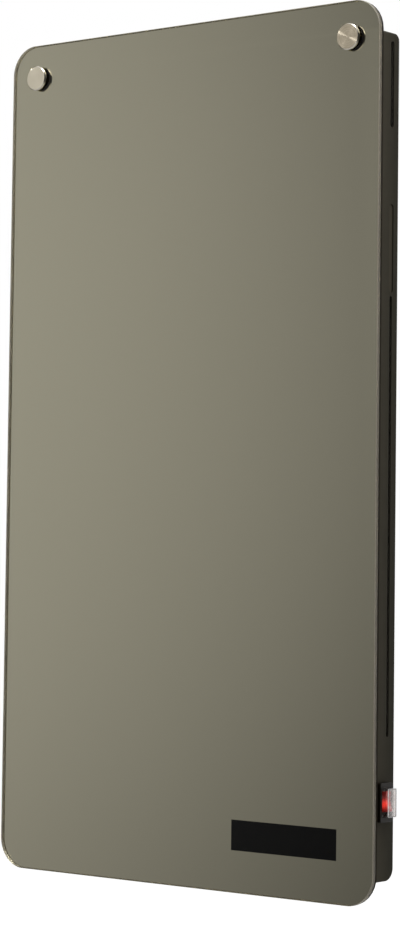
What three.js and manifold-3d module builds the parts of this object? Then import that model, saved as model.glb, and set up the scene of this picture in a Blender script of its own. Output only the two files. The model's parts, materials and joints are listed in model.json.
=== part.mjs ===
// Infrared mirror heater: a mirror glass with round fixing caps, in front of a shallow steel casing that
// hooks onto a wall bracket. Millimetres, +Z up, the wall is the plane y = 0 and the heater lies in front
// of it, towards -Y. The origin is the centre of the wall bracket's rear face.
//
// Everything but the bracket is drawn in the heater's own frame: x to the right, y backwards from the
// front face of the glass, z up from the middle of the glass.

import * as THREE from 'three';
import { mergeVertices } from 'three/addons/utils/BufferGeometryUtils.js';
import Module from 'manifold-3d';

const wasm = await Module();
wasm.setup();

// Clearances
const seatGap = 0.3; // between two faces that rest on each other
const runGap = 0.4; // round a pin that turns
const holeGap = 0.3; // round a screw or stud in its hole
const overrun = 2; // how far a cut runs past the face that it opens

// Mirror glass
const glassWidth = 550;
const glassHeight = 1000;
const glassThick = 5;
const glassCorner = 35;
const glassArris = 0.7;
const sealInset = 0.4; // of the rubber seal behind the glass, from its edge
const sealWidth = 16;
const sealThick = 2.8;
const fixingInset = 41; // fixing holes from the top edge and from the side edges

// Casing
const casingSideInset = 25; // the glass overhangs each side of the casing by this much
const casingTopInset = 28;
const casingBottomInset = 22;
const shadowGap = 6; // between the glass and the casing
const casingDepth = 65;
const sheet = 1.2;
const topBend = 8;
const bottomBend = 14;
const frontBend = 2;
const cheekFold = 2.5;
const cheekSkirt = 8;
const topReturn = 24;
const bottomReturn = 18;
const frameSheet = 1.5;
const frameBorder = 20;
const frameCorner = 4;
const beadInset = 100; // centre lines of the two beads pressed into the rear wall, from its sides
const beadWidth = 26;
const beadDepth = 1.5;
const beadEnd = 130; // from the casing's underside, and from the hook slots
const frameScrewShare = 0.36; // frame screws from the middle, as a share of the casing's half width

// Slots in the side cheeks, from the top of the casing down
const slotSetback = 14.3; // slot centre line from the rear face
const topSlotStart = 10;
const topSlotLength = 98;
const topSlotWidth = 6.5;
const blindSlotStart = 195;
const blindSlotLength = 100;
const blindSlotWidth = 8;
const longSlotStart = 299;
const longSlotRise = 159; // its lower end above the casing's underside
const longSlotWidth = 4.6;
const blankMargin = 3;
const blankSheet = 1;

// Fixings that hold the glass
const capRadius = 15;
const capThick = 2.9;
const capChamfer = 1;
const capWall = 1.2;
const bossWall = 0.8; // of the cap's threaded boss
const bossLength = 4.4; // from the back of the cap, through the washer and into the glass
const washerThick = 0.8;
const washerInset = 1; // of the front washers, from the edge of their caps
const washerRadius = 11; // of the rear washers
const barrelRadius = 8;
const studRadius = 3;
const studTail = 5; // what stands out behind a nut
const nutRadius = 5.6;
const nutThick = 5;
const bondDiscRadius = 9.5;
const bondDiscThick = 2.5;
const bondInset = 50; // the lower studs from the casing's sides
const lowStudRise = 10; // the lower studs above the casing's underside
const frameScrewRadius = 1.9;
const frameScrewHead = 3.6;
const frameScrewHeadThick = 1.8;
const frameScrewLength = 9;

// Display behind its window
const windowWidth = 147;
const windowHeight = 35;
const windowRight = 51; // from the glass's right edge
const windowBottom = 47; // from the glass's bottom edge
const housingMargin = 4.2;
const housingWall = 1.5;
const housingDepth = 20;
const housingLedge = 4;
const boardThick = 1.6;
const boardGap = 0.6;
const digitsWidth = 62;
const digitsHeight = 18;
const digitsThick = 1.2;
const keyWidth = 11;
const keyThick = 0.8;
const keyCount = 3;

// Heating layers
const filmSideMargin = 5; // from the opening of the front frame
const filmTopMargin = 10;
const filmLift = 17.8; // above the display's housing
const filmThick = 0.5;
const insulationThick = 18;
const trayShare = 0.985; // of the film's height
const traySheet = 0.8;
const trayFlange = 14;
const cutoutRadius = 8;
const cutoutHeight = 10;
const cutoutFlange = 11;
const cutoutFlangeThick = 1.5;
const cutoutRise = 250; // above the middle of the glass
const pocketGap = 3;

// Control board on the rear wall
const controlGap = 1; // from the right bead
const controlRise = 188; // above the casing's underside
const controlWidth = 140;
const controlHeight = 100;
const controlMargin = 6;
const controlPlate = 2;
const controlPost = 3.5;
const controlPostLength = 6;
const relayWidth = 18;
const relayDepth = 15;
const relayHeight = 20;
const supplyWidth = 40;
const supplyDepth = 22;
const supplyHeight = 34;
const componentInset = 10;
const sensorRadius = 2.5;
const sensorLength = 18;
const sensorClip = 3;

// Cord inlet and terminals
const inletInset = 100; // from the casing's left side
const inletSetback = 28; // from the rear face
const glandThread = 8;
const glandBore = 4.2;
const glandHex = 11.5;
const glandFlange = 5;
const glandTail = 7;
const glandInside = 8;
const glandNutThick = 4;
const domeThick = 11;
const domeMouth = 4.6;
const domeRound = 3;
const terminalWidth = 42;
const terminalDepth = 16;
const terminalHeight = 20;
const terminalRise = 34; // above the casing's underside
const terminalPoles = 3;
const terminalScrew = 2.2;
const terminalScrewDepth = 3;

// Rocker switch in the right cheek, n is the way out of the cheek
const switchSetback = 24; // from the casing's rear face
const switchRise = 88; // above the casing's underside
const bodyWide = 11.2;
const bodyTall = 26.8;
const bodyWall = 1.1;
const bodyDepth = 22;
const lipWide = 13.2;
const lipTall = 29;
const lipThick = 2;
const coverWide = 15.8;
const coverTall = 31.6;
const coverReach = 14.4;
const coverWall = 1;
const coverRound = 0.9;
const coverFoot = 1.6;
const coverFootThick = 1.2;
const bezelWide = 23.4;
const bezelTall = 43.4;
const bezelThick = 6.2;
const bezelCorner = 2.5;
const bezelArris = 0.6;
const rockerWide = 8.4;
const rockerTall = 22.4; // across its two crests
const rockerFoot = 22.6;
const rockerCrest = 10.6;
const rockerValley = 8;
const rockerSkirt = -1;
const rockerKeelDepth = -5;
const rockerKeelLength = 8;
const rockerWall = 1.2;
const rockerTilt = 7; // degrees either side of level
const pivotDepth = -2.5;
const pivotRadius = 1.5;
const pivotReach = 0.6; // how far a pin enters its wall
const lampRadius = 2;
const lampLength = 8;
const lampStem = 1.2;
const bladeWide = 6.3;
const bladeThick = 0.8;
const bladeLength = 9;
const bladeCount = 3;

// Wall bracket and what keeps the heater off the wall
const wallGap = 6; // between the wall and the casing's rear face
const bracketInset = 60; // from the casing's sides
const bracketHeight = 60;
const bracketSheet = 2.5;
const bracketCorner = 5;
const hookInset = 40; // hook centres from the bracket's ends
const hookWidth = 40;
const hookLip = 12;
const hookPlay = 0.8; // between the lip and the casing's rear wall
const hookDrop = 110; // the hooks' seat below the casing's top
const hookSideGap = 3;
const liftSpare = 1;
const screwSlotWidth = 7;
const screwSlotLength = 14;
const innerScrewReach = 60; // wall screws from the middle
const outerScrewInset = 25; // wall screws from the bracket's ends
const padRadius = 11;
const padInset = 60; // from the casing's sides
const padRise = 60; // above the casing's underside

// Wire looms
const loomRadius = 2.5;
const loomBend = 8;
const loomPass = 1.75; // round a loom where it goes through a hole

// How finely round things are faceted
const cornerSteps = 8;
const foldSteps = 3;
const hexSides = 6;
const roundSteps = 32;
const smallRoundSteps = 16;
const loomSides = 8;
const loomSteps = 22;

// Places worked out from the sizes above
const glassTop = glassHeight / 2;
const glassSide = glassWidth / 2;
const casingFront = glassThick + shadowGap;
const casingRear = casingFront + casingDepth;
const casingTop = glassTop - casingTopInset;
const casingBottom = casingBottomInset - glassTop;
const casingSide = glassSide - casingSideInset;
const shellFront = casingFront + frameSheet + seatGap;
const rearInner = casingRear - sheet;
const returnBack = shellFront + sheet;
const fixingX = glassSide - fixingInset;
const bossRadius = studRadius + holeGap + bossWall;
const bondX = casingSide - bondInset;
const fixingZ = glassTop - fixingInset;
const lowStudZ = casingBottom + lowStudRise;
const windowX = glassSide - windowRight - windowWidth / 2;
const windowZ = windowBottom + windowHeight / 2 - glassTop;
const filmFront = glassThick + seatGap;
const filmTop = casingTop - frameBorder - filmTopMargin;
const filmBottom = windowZ + windowHeight / 2 + housingMargin + filmLift;
const filmWidth = 2 * (casingSide - frameBorder - filmSideMargin);
const filmHeight = filmTop - filmBottom;
const filmZ = (filmTop + filmBottom) / 2;
const insulationFront = filmFront + filmThick + seatGap;
const trayFront = insulationFront + insulationThick + seatGap;
const hookSeatZ = casingTop - hookDrop;
const bracketZ = hookSeatZ - seatGap - bracketHeight / 2;
const bracketSide = casingSide - bracketInset;
const hookX = bracketSide - hookInset;
const slotY = casingRear - slotSetback;
const beadX = casingSide - beadInset;
const controlX = beadX - beadWidth / 2 - controlGap - controlMargin - controlWidth / 2;
const controlZ = casingBottom + controlRise;
const inletX = inletInset - casingSide;
const inletY = casingRear - inletSetback;
const switchY = casingRear - switchSetback;
const switchZ = casingBottom + switchRise;
const liftRange = hookLip + liftSpare;

// Colours and finishes
function finish(color, roughness, metalness) {
  return new THREE.MeshStandardMaterial({ color, roughness, metalness });
}

const mirror = finish(0x8a8470, 0.06, 0.9);
const blackLens = finish(0x0e0e0b, 0.08, 0);
const blackPaint = finish(0x33312d, 0.55, 0.3);
const brushedSteel = finish(0xbdb4a2, 0.32, 1);
const zincSteel = finish(0xa8aaa8, 0.4, 1);
const blackPlastic = finish(0x141414, 0.4, 0);
const redPlastic = finish(0xc81a10, 0.25, 0);
const clearPlastic = finish(0xe2ddd8, 0.1, 0);
const nylon = finish(0xd8d5cc, 0.5, 0);
const rubber = finish(0x1d1d1d, 0.85, 0);
const carbonFilm = finish(0x26211d, 0.6, 0.1);
const mineralBoard = finish(0xb9a05f, 0.95, 0);
const bareTray = finish(0xb4b6b8, 0.35, 1);
const boardGreen = finish(0x1e5a35, 0.5, 0.1);
const relayBlue = finish(0x2a5c9a, 0.45, 0);
const brass = finish(0xb99a4c, 0.35, 1);
const sleeve = finish(0xdedbd2, 0.6, 0);

// The heater, and inside it the rocker, in their own frames
const object = new THREE.Group();
const heater = new THREE.Group();
heater.position.set(0, -wallGap - casingRear, -bracketZ);
object.add(heater);

function add(parent, name, geometry, material) {
  const mesh = new THREE.Mesh(geometry, material);
  mesh.name = name;
  parent.add(mesh);
  return mesh;
}

// Joining and cutting solids

function toSolid(geometry) {
  const bare = geometry.clone();
  bare.deleteAttribute('normal');
  bare.deleteAttribute('uv');
  const merged = mergeVertices(bare);
  return new wasm.Manifold(new wasm.Mesh({
    numProp: 3,
    vertProperties: merged.attributes.position.array,
    triVerts: new Uint32Array(merged.index.array),
  }));
}

function toGeometry(solid) {
  const mesh = solid.getMesh();
  const geometry = new THREE.BufferGeometry();
  geometry.setAttribute('position', new THREE.BufferAttribute(mesh.vertProperties, 3));
  geometry.setIndex(new THREE.BufferAttribute(mesh.triVerts, 1));
  geometry.computeVertexNormals();
  return geometry;
}

const cut = (body, ...tools) =>
  toGeometry(tools.reduce((rest, tool) => rest.subtract(toSolid(tool)), toSolid(body)));
const join = (body, ...others) =>
  toGeometry(others.reduce((sum, other) => sum.add(toSolid(other)), toSolid(body)));

// A right-hand piece as it is, or its mirror image for the left
function mirrored(geometry, side) {
  if (side > 0) return geometry;
  const flipped = geometry.scale(-1, 1, 1);
  const corners = flipped.index.array;
  for (let at = 0; at < corners.length; at += 3) {
    [corners[at], corners[at + 1]] = [corners[at + 1], corners[at]];
  }
  return flipped;
}

// Outlines, each drawn in the plane that its piece is extruded from

function polygon(points, kind = THREE.Shape) {
  return new kind(points.map(([u, v]) => new THREE.Vector2(u, v)));
}

// A rectangle whose corners are rounded one by one, from the low-low corner round by high u
function roundedRectangle(lowU, lowV, highU, highV, radii, kind = THREE.Shape) {
  const corners = [[lowU, lowV, 1, 1], [highU, lowV, -1, 1], [highU, highV, -1, -1], [lowU, highV, 1, -1]];
  const points = corners.flatMap(([u, v, inU, inV], corner) => {
    const radius = Array.isArray(radii) ? radii[corner] : radii;
    if (radius <= 0) return [[u, v]];
    const start = Math.PI * (1 + corner / 2);
    return Array.from({ length: cornerSteps + 1 }, (_, step) => {
      const angle = start + (step / cornerSteps) * Math.PI / 2;
      return [u + radius * (inU + Math.cos(angle)), v + radius * (inV + Math.sin(angle))];
    });
  });
  return polygon(points, kind);
}

function centredRectangle(u, v, width, height, radii = 0, kind = THREE.Shape) {
  return roundedRectangle(u - width / 2, v - height / 2, u + width / 2, v + height / 2, radii, kind);
}

function circle(u, v, radius, sides = smallRoundSteps, kind = THREE.Shape) {
  return polygon(Array.from({ length: sides }, (_, side) => {
    const angle = (side / sides) * 2 * Math.PI;
    return [u + radius * Math.cos(angle), v + radius * Math.sin(angle)];
  }), kind);
}

function withHoles(shape, ...holes) {
  shape.holes.push(...holes);
  return shape;
}

// Extrusions

const extruded = (shape, depth) =>
  new THREE.ExtrudeGeometry(shape, { depth, bevelEnabled: false, steps: 1 });

// The outline grows by the bevel in the middle, and the piece is longer than depth by a bevel at each end
function bevelled(shape, depth, bevel, bevelSegments = 1) {
  return new THREE.ExtrudeGeometry(shape, {
    depth, steps: 1, bevelThickness: bevel, bevelSize: bevel, bevelSegments,
  });
}

// Drawn in x and z, carried back along y
const backward = (shape, front, depth) =>
  extruded(shape, depth).rotateX(Math.PI / 2).translate(0, front + depth, 0);

// Drawn in y and z, carried along x
const toSide = new THREE.Matrix4().makeBasis(
  new THREE.Vector3(0, 1, 0), new THREE.Vector3(0, 0, 1), new THREE.Vector3(1, 0, 0));
const sideways = (shape, start, length) =>
  extruded(shape, length).applyMatrix4(toSide).translate(start, 0, 0);

// Drawn in x and y, carried up along z
const upward = (shape, bottom, height) => extruded(shape, height).translate(0, 0, bottom);

function block(lowX, lowY, lowZ, highX, highY, highZ) {
  return new THREE.BoxGeometry(highX - lowX, highY - lowY, highZ - lowZ)
    .translate((lowX + highX) / 2, (lowY + highY) / 2, (lowZ + highZ) / 2);
}

const rodBack = (x, z, radius, front, rear, sides) =>
  backward(circle(x, z, radius, sides), front, rear - front);
const rodUp = (x, y, radius, bottom, top, sides) =>
  upward(circle(x, y, radius, sides), bottom, top - bottom);

// A turned piece, its profile given as radius and distance along y
function turned(x, z, profile, sides = roundSteps) {
  return new THREE.LatheGeometry(profile.map(([r, y]) => new THREE.Vector2(r, y)), sides).translate(x, 0, z);
}

function ring(x, z, outer, inner, front, thick, outerSides = roundSteps) {
  const bore = circle(x, z, inner, smallRoundSteps, THREE.Path);
  return backward(withHoles(circle(x, z, outer, outerSides), bore), front, thick);
}

// Mirror glass and the window in it

function mirrorGlass() {
  const width = glassWidth - 2 * glassArris;
  const height = glassHeight - 2 * glassArris;
  const face = centredRectangle(0, 0, width, height, glassCorner - glassArris);
  const slab = bevelled(face, glassThick - 2 * glassArris, glassArris)
    .rotateX(Math.PI / 2).translate(0, glassThick - glassArris, 0);
  const through = [-overrun, glassThick + 2 * overrun];
  const holes = [-fixingX, fixingX].map((x) =>
    backward(circle(x, fixingZ, bossRadius + holeGap), ...through));
  const opening = backward(centredRectangle(windowX, windowZ, windowWidth, windowHeight), ...through);
  return cut(slab, ...holes, opening);
}

// Black rubber seal bonded round the back of the glass
function edgeSeal() {
  const width = glassWidth - 2 * sealInset;
  const height = glassHeight - 2 * sealInset;
  const corner = glassCorner - sealInset;
  const inside = centredRectangle(
    0, 0, width - 2 * sealWidth, height - 2 * sealWidth, corner - sealWidth, THREE.Path);
  return backward(
    withHoles(centredRectangle(0, 0, width, height, corner), inside), glassThick + seatGap, sealThick);
}

function displayWindow() {
  const pane = centredRectangle(windowX, windowZ, windowWidth - 2 * seatGap, windowHeight - 2 * seatGap);
  return backward(pane, 0, glassThick);
}

function displayHousing() {
  const width = windowWidth + 2 * housingMargin;
  const height = windowHeight + 2 * housingMargin;
  const front = glassThick + seatGap;
  const body = backward(centredRectangle(windowX, windowZ, width, height, housingWall), front, housingDepth);
  const cavity = backward(
    centredRectangle(windowX, windowZ, width - 2 * housingWall, height - 2 * housingWall),
    front + housingWall, housingDepth);
  const opening = backward(
    centredRectangle(windowX, windowZ, windowWidth - 2 * housingLedge, windowHeight - 2 * housingLedge),
    front - overrun, housingDepth);
  return cut(body, cavity, opening);
}

function displayBoard() {
  const width = windowWidth + 2 * (housingMargin - housingWall - boardGap);
  const height = windowHeight + 2 * (housingMargin - housingWall - boardGap);
  const front = glassThick + housingWall + 2 * seatGap;
  const plate = backward(centredRectangle(windowX, windowZ, width, height), front, boardThick);
  const left = windowX - windowWidth / 2 + 2 * housingLedge;
  const digits = centredRectangle(left + digitsWidth / 2, windowZ, digitsWidth, digitsHeight);
  const parts = [backward(digits, front - digitsThick, digitsThick + boardThick / 2)];
  const keySpan = windowWidth - 4 * housingLedge - digitsWidth;
  for (let key = 0; key < keyCount; key += 1) {
    const x = left + digitsWidth + keySpan * (key + 1) / (keyCount + 1);
    parts.push(backward(circle(x, windowZ, keyWidth / 2), front - keyThick, keyThick + boardThick / 2));
  }
  return join(plate, ...parts);
}

// Casing

// Side view of the casing, shrunk by inset on every side
function casingOutline(inset, kind) {
  const radii = [frontBend, bottomBend, topBend, frontBend].map((radius) => Math.max(radius - inset, 0));
  return roundedRectangle(shellFront + inset, casingBottom + inset,
    casingRear - inset, casingTop - inset, radii, kind);
}

// A long bead, beadDepth deep from a face of the rear wall, with its outline grown all round
function bead(x, face, grown) {
  const low = casingBottom + beadEnd;
  const high = hookSeatZ - beadEnd;
  const width = beadWidth - 2 * beadDepth + 2 * grown;
  const outline = centredRectangle(x, (low + high) / 2, width, high - low + 2 * grown, width / 2);
  return bevelled(outline, overrun, beadDepth).rotateX(Math.PI / 2).translate(0, face + overrun, 0);
}

function rearShell() {
  const end = casingSide - cheekSkirt - seatGap;
  const tube = sideways(withHoles(casingOutline(0), casingOutline(sheet, THREE.Path)), -end, 2 * end);
  const mouth = block(-casingSide, shellFront - overrun, casingBottom + bottomReturn,
    casingSide, returnBack + seatGap, casingTop - topReturn);
  const slotTall = liftRange + bracketSheet + 2 * seatGap;
  const slotReach = hookWidth / 2 + hookSideGap;
  const hookSlots = [-hookX, hookX].map((x) => backward(
    roundedRectangle(x - slotReach, hookSeatZ - slotTall, x + slotReach, hookSeatZ, sheet),
    rearInner - overrun, sheet + 2 * overrun));
  const inlet = rodUp(inletX, inletY, glandThread + holeGap,
    casingBottom - overrun, casingBottom + sheet + overrun);
  const studHoles = [[-fixingX, fixingZ], [fixingX, fixingZ], [-bondX, lowStudZ], [bondX, lowStudZ]]
    .map(([x, z]) => rodBack(x, z, studRadius + holeGap, shellFront - overrun, returnBack + overrun));
  const screwHoles = frameScrewPlaces()
    .map(([x, z]) => rodBack(x, z, frameScrewRadius + holeGap, shellFront - overrun, returnBack + overrun));
  const beads = [-beadX, beadX];
  const bosses = join(tube, ...beads.map((x) => bead(x, rearInner, sheet)));
  const behind = block(-casingSide, casingRear, casingBottom,
    casingSide, casingRear + 3 * overrun, casingTop);
  return cut(bosses, behind, ...beads.map((x) => bead(x, casingRear, 0)),
    mouth, ...hookSlots, inlet, ...studHoles, ...screwHoles);
}

// The three upright slots of a cheek, as [start below the casing's top, length, width]
const longSlotLength = casingTop - longSlotStart - casingBottom - longSlotRise;
const cheekSlots = [
  [topSlotStart, topSlotLength, topSlotWidth],
  [blindSlotStart, blindSlotLength, blindSlotWidth],
  [longSlotStart, longSlotLength, longSlotWidth],
];

function sideCheek(side) {
  const slab = bevelled(casingOutline(cheekFold), 2 * cheekSkirt - cheekFold, cheekFold, foldSteps)
    .applyMatrix4(toSide).translate(casingSide - 2 * cheekSkirt, 0, 0);
  const spare = block(casingSide - 3 * cheekSkirt, 0, casingBottom - overrun,
    casingSide - cheekSkirt, casingRear + overrun, casingTop + overrun);
  const hollow = sideways(casingOutline(sheet), casingSide - 3 * cheekSkirt, 3 * cheekSkirt - sheet);
  const through = [casingSide - sheet - overrun, sheet + 2 * overrun];
  const slots = cheekSlots.map(([start, length, width]) => {
    const z = casingTop - start - length / 2;
    return sideways(centredRectangle(slotY, z, width, length, width / 2), ...through);
  });
  const tools = [spare, hollow, ...slots];
  if (side > 0) {
    const seat = centredRectangle(switchY, switchZ, bodyWide + 2 * holeGap, bodyTall + 2 * holeGap);
    tools.push(sideways(seat, ...through));
  }
  return mirrored(cut(slab, ...tools), side);
}

function slotBlank(side) {
  const width = blindSlotWidth + 2 * blankMargin;
  const height = blindSlotLength + 2 * blankMargin;
  const z = casingTop - blindSlotStart - blindSlotLength / 2;
  const middle = casingSide - sheet - seatGap - blankSheet / 2;
  const plate = centredRectangle(slotY, z, width, height, blankMargin);
  return sideways(plate, side * middle - blankSheet / 2, blankSheet);
}

function frameScrewPlaces() {
  const xs = [-frameScrewShare, frameScrewShare].map((share) => share * casingSide);
  const zs = [casingTop - topReturn / 2, casingBottom + bottomReturn / 2];
  return zs.flatMap((z) => xs.map((x) => [x, z]));
}

function frontFrame() {
  const hole = (x, z, radius) => circle(x, z, radius + holeGap, smallRoundSteps, THREE.Path);
  const outline = roundedRectangle(-casingSide, casingBottom, casingSide, casingTop, frameCorner);
  const opening = roundedRectangle(-casingSide + frameBorder, casingBottom + frameBorder,
    casingSide - frameBorder, casingTop - frameBorder, frameCorner, THREE.Path);
  const holes = [
    ...[-fixingX, fixingX].map((x) => hole(x, fixingZ, studRadius)),
    ...[-bondX, bondX].map((x) => hole(x, lowStudZ, studRadius)),
    ...frameScrewPlaces().map(([x, z]) => hole(x, z, frameScrewRadius)),
  ];
  return backward(withHoles(outline, opening, ...holes), casingFront, frameSheet);
}

function frameScrew(x, z) {
  const head = casingFront - seatGap;
  const tip = head + frameScrewLength;
  return turned(x, z, [
    [0, head - frameScrewHeadThick], [frameScrewHead - frameScrewHeadThick / 2, head - frameScrewHeadThick],
    [frameScrewHead, head - frameScrewHeadThick / 2], [frameScrewHead, head], [frameScrewRadius, head],
    [frameScrewRadius, tip - frameScrewRadius], [0, tip],
  ], smallRoundSteps);
}

// Fixings at the top corners, one cap, stud, nut, barrel and two washers each

const frontWasherBack = -seatGap;
const capBack = frontWasherBack - washerThick - seatGap;
const capFront = capBack - capThick;
const rearWasherFront = glassThick + seatGap;
const barrelFront = rearWasherFront + washerThick + seatGap;
const barrelBack = casingFront - seatGap;
const nutFront = returnBack + seatGap;
const studEnd = nutFront + nutThick + studTail;

function fixingCap(x) {
  const bore = studRadius + holeGap;
  const bossBack = capBack + bossLength;
  return turned(x, fixingZ, [
    [0, capFront], [capRadius - capChamfer, capFront], [capRadius, capFront + capChamfer],
    [capRadius, capBack], [bossRadius, capBack], [bossRadius, bossBack], [bore, bossBack],
    [bore, capFront + capWall], [0, capFront + capWall],
  ], 2 * roundSteps);
}

const fixingStud = (x) => rodBack(x, fixingZ, studRadius, capFront + capWall + seatGap, studEnd);
const frontWasher = (x) =>
  ring(x, fixingZ, capRadius - washerInset, bossRadius + holeGap, frontWasherBack - washerThick,
    washerThick);
const rearWasher = (x) =>
  ring(x, fixingZ, washerRadius, studRadius + holeGap, rearWasherFront, washerThick);
const barrel = (x) =>
  ring(x, fixingZ, barrelRadius, studRadius + holeGap, barrelFront, barrelBack - barrelFront);
const studNut = (x, z) => ring(x, z, nutRadius, studRadius + holeGap, nutFront, nutThick, hexSides);

// Studs bonded to the back of the glass near its lower edge

function bondedStud(x) {
  const discFront = glassThick + seatGap;
  const discBack = discFront + bondDiscThick;
  return turned(x, lowStudZ, [
    [0, discFront], [bondDiscRadius, discFront], [bondDiscRadius, discBack], [studRadius, discBack],
    [studRadius, studEnd], [0, studEnd],
  ], smallRoundSteps);
}

function lowSpacer(x) {
  const front = glassThick + bondDiscThick + 2 * seatGap;
  return ring(x, lowStudZ, barrelRadius, studRadius + holeGap, front, casingFront - seatGap - front);
}

// Heating film, insulation and the tray that holds them

const filmLoomZ = controlZ + controlHeight;

const heatingFilm = () =>
  backward(centredRectangle(0, filmZ, filmWidth, filmHeight, frameCorner), filmFront, filmThick);

function insulationBoard() {
  const outline = withHoles(
    centredRectangle(0, filmZ, filmWidth, filmHeight),
    circle(0, cutoutRise, cutoutFlange + pocketGap, roundSteps, THREE.Path),
    circle(controlX, filmLoomZ, loomRadius + 2 * loomPass, smallRoundSteps, THREE.Path));
  return backward(outline, insulationFront, insulationThick);
}

function supportTray() {
  const side = casingSide - sheet - seatGap;
  const height = filmHeight * trayShare;
  const back = trayFront + traySheet + trayFlange;
  const section = polygon([
    [-side, trayFront], [side, trayFront], [side, back], [side - traySheet, back],
    [side - traySheet, trayFront + traySheet], [-side + traySheet, trayFront + traySheet],
    [-side + traySheet, back], [-side, back],
  ]);
  const channel = upward(section, filmZ - height / 2, height);
  const past = [trayFront - overrun, trayFront + traySheet + overrun];
  return cut(channel, rodBack(0, cutoutRise, cutoutFlange, ...past),
    rodBack(controlX, filmLoomZ, loomRadius + loomPass, ...past));
}

function thermalCutout() {
  const front = filmFront + filmThick + seatGap;
  const flangeBack = front + cutoutFlangeThick;
  return turned(0, cutoutRise, [
    [0, front], [cutoutFlange, front], [cutoutFlange, flangeBack], [cutoutRadius, flangeBack],
    [cutoutRadius, front + cutoutHeight], [0, front + cutoutHeight],
  ], smallRoundSteps);
}

// Control board, its carrier and its large components

const carrierBack = rearInner - seatGap;
const carrierFront = carrierBack - controlPlate;
const postFront = carrierFront - controlPostLength;
const boardFront = postFront - seatGap - boardThick;

function controlCarrier() {
  const plate = backward(centredRectangle(controlX, controlZ, controlWidth + 2 * controlMargin,
    controlHeight + 2 * controlMargin, controlMargin), carrierFront, controlPlate);
  const posts = [];
  for (const right of [-1, 1]) {
    for (const up of [-1, 1]) {
      const x = controlX + right * (controlWidth / 2 - 2 * controlPost);
      const z = controlZ + up * (controlHeight / 2 - 2 * controlPost);
      posts.push(rodBack(x, z, controlPost, postFront, carrierFront + controlPlate / 2));
    }
  }
  return join(plate, ...posts);
}

function controlBoard() {
  const outline = centredRectangle(controlX, controlZ, controlWidth, controlHeight, boardThick);
  return backward(outline, boardFront, boardThick);
}

// A component whose back rests on the front of the board, with its centre to one side and up
function boardComponent(x, z, width, depth, height) {
  return backward(centredRectangle(x, z, width, height, boardThick / 2), boardFront - seatGap - depth, depth);
}

const relayX = controlX - controlWidth / 2 + componentInset + relayWidth / 2;
const relayZ = controlZ + controlHeight / 2 - componentInset - relayHeight / 2;
const supplyX = controlX + controlWidth / 2 - componentInset - supplyWidth / 2;
const supplyZ = controlZ - controlHeight / 2 + componentInset + supplyHeight / 2;

// A room temperature probe in its clip, on the underside of the casing
function roomSensor() {
  const floor = casingBottom + sheet + seatGap;
  const rise = floor + sensorClip + sensorRadius;
  const probe = backward(circle(windowX, rise, sensorRadius), inletY - sensorLength / 2, sensorLength);
  const clip = block(windowX - sensorRadius, inletY - sensorClip, floor,
    windowX + sensorRadius, inletY + sensorClip, rise);
  return join(probe, clip);
}

// Cord inlet through the underside, and the terminals inside

const flangeTop = casingBottom - seatGap;
const flangeBottom = flangeTop - glandFlange;
const tailBottom = flangeBottom - glandTail;
const tailRadius = glandThread - sheet;

function glandBody() {
  const bore = () => circle(inletX, inletY, glandBore, smallRoundSteps, THREE.Path);
  const tube = (radius, sides, bottom, top) =>
    upward(withHoles(circle(inletX, inletY, radius, sides), bore()), bottom, top - bottom);
  const half = glandFlange / 2;
  return join(tube(glandHex, hexSides, flangeBottom, flangeTop),
    tube(glandThread, roundSteps, flangeTop - half, casingBottom + glandInside),
    tube(tailRadius, roundSteps, tailBottom, flangeBottom + half));
}

function glandNut() {
  const bottom = casingBottom + sheet + seatGap;
  const hexagon = withHoles(circle(inletX, inletY, glandHex, hexSides),
    circle(inletX, inletY, glandThread + holeGap, roundSteps, THREE.Path));
  return upward(hexagon, bottom, glandNutThick);
}

// Its profile is drawn as radius and height, then stood up along z
function glandDome() {
  const top = flangeBottom - seatGap;
  const bottom = top - domeThick;
  const inner = tailBottom - seatGap;
  const bore = tailRadius + holeGap;
  const profile = [
    [domeMouth, bottom], [glandHex - domeRound, bottom], [glandHex - domeRound / 3, bottom + domeRound / 2],
    [glandHex, bottom + domeRound], [glandHex, top], [bore, top], [bore, inner], [domeMouth, inner - seatGap],
    [domeMouth, bottom],
  ].map(([r, z]) => new THREE.Vector2(r, z));
  return new THREE.LatheGeometry(profile, smallRoundSteps).rotateX(Math.PI / 2).translate(inletX, inletY, 0);
}

function terminalBlock() {
  const low = casingBottom + terminalRise;
  const back = rearInner - seatGap;
  const body = block(inletX - terminalWidth / 2, back - terminalDepth, low,
    inletX + terminalWidth / 2, back, low + terminalHeight);
  const pitch = terminalWidth / terminalPoles;
  const wells = Array.from({ length: terminalPoles }, (_, pole) => rodBack(
    inletX + (pole - (terminalPoles - 1) / 2) * pitch, low + terminalHeight / 2, terminalScrew,
    back - terminalDepth - overrun, back - terminalDepth + terminalScrewDepth));
  return cut(body, ...wells);
}

// Rocker switch. Its pieces are drawn with n outwards from the cheek, then y and z as in the heater.

const atSwitch = (geometry) => geometry.translate(casingSide, switchY, switchZ);
const switchSection = (wide, tall, radii, kind) => centredRectangle(0, 0, wide, tall, radii, kind);
const lipBack = seatGap;
const lipFront = lipBack + lipThick;
const pocketWide = bodyWide - 2 * bodyWall;
const pocketTall = bodyTall - 2 * bodyWall;

function switchBody() {
  const body = sideways(switchSection(bodyWide, bodyTall), -bodyDepth, bodyDepth + lipFront);
  const lip = sideways(switchSection(lipWide, lipTall, 2 * bodyWall), lipBack, lipThick);
  const pocket = sideways(switchSection(pocketWide, pocketTall), bodyWall - bodyDepth, bodyDepth + lipFront);
  const bore = backward(circle(pivotDepth, 0, pivotRadius + runGap), -bodyWide, 2 * bodyWide);
  return atSwitch(cut(join(body, lip), pocket, bore));
}

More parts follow.
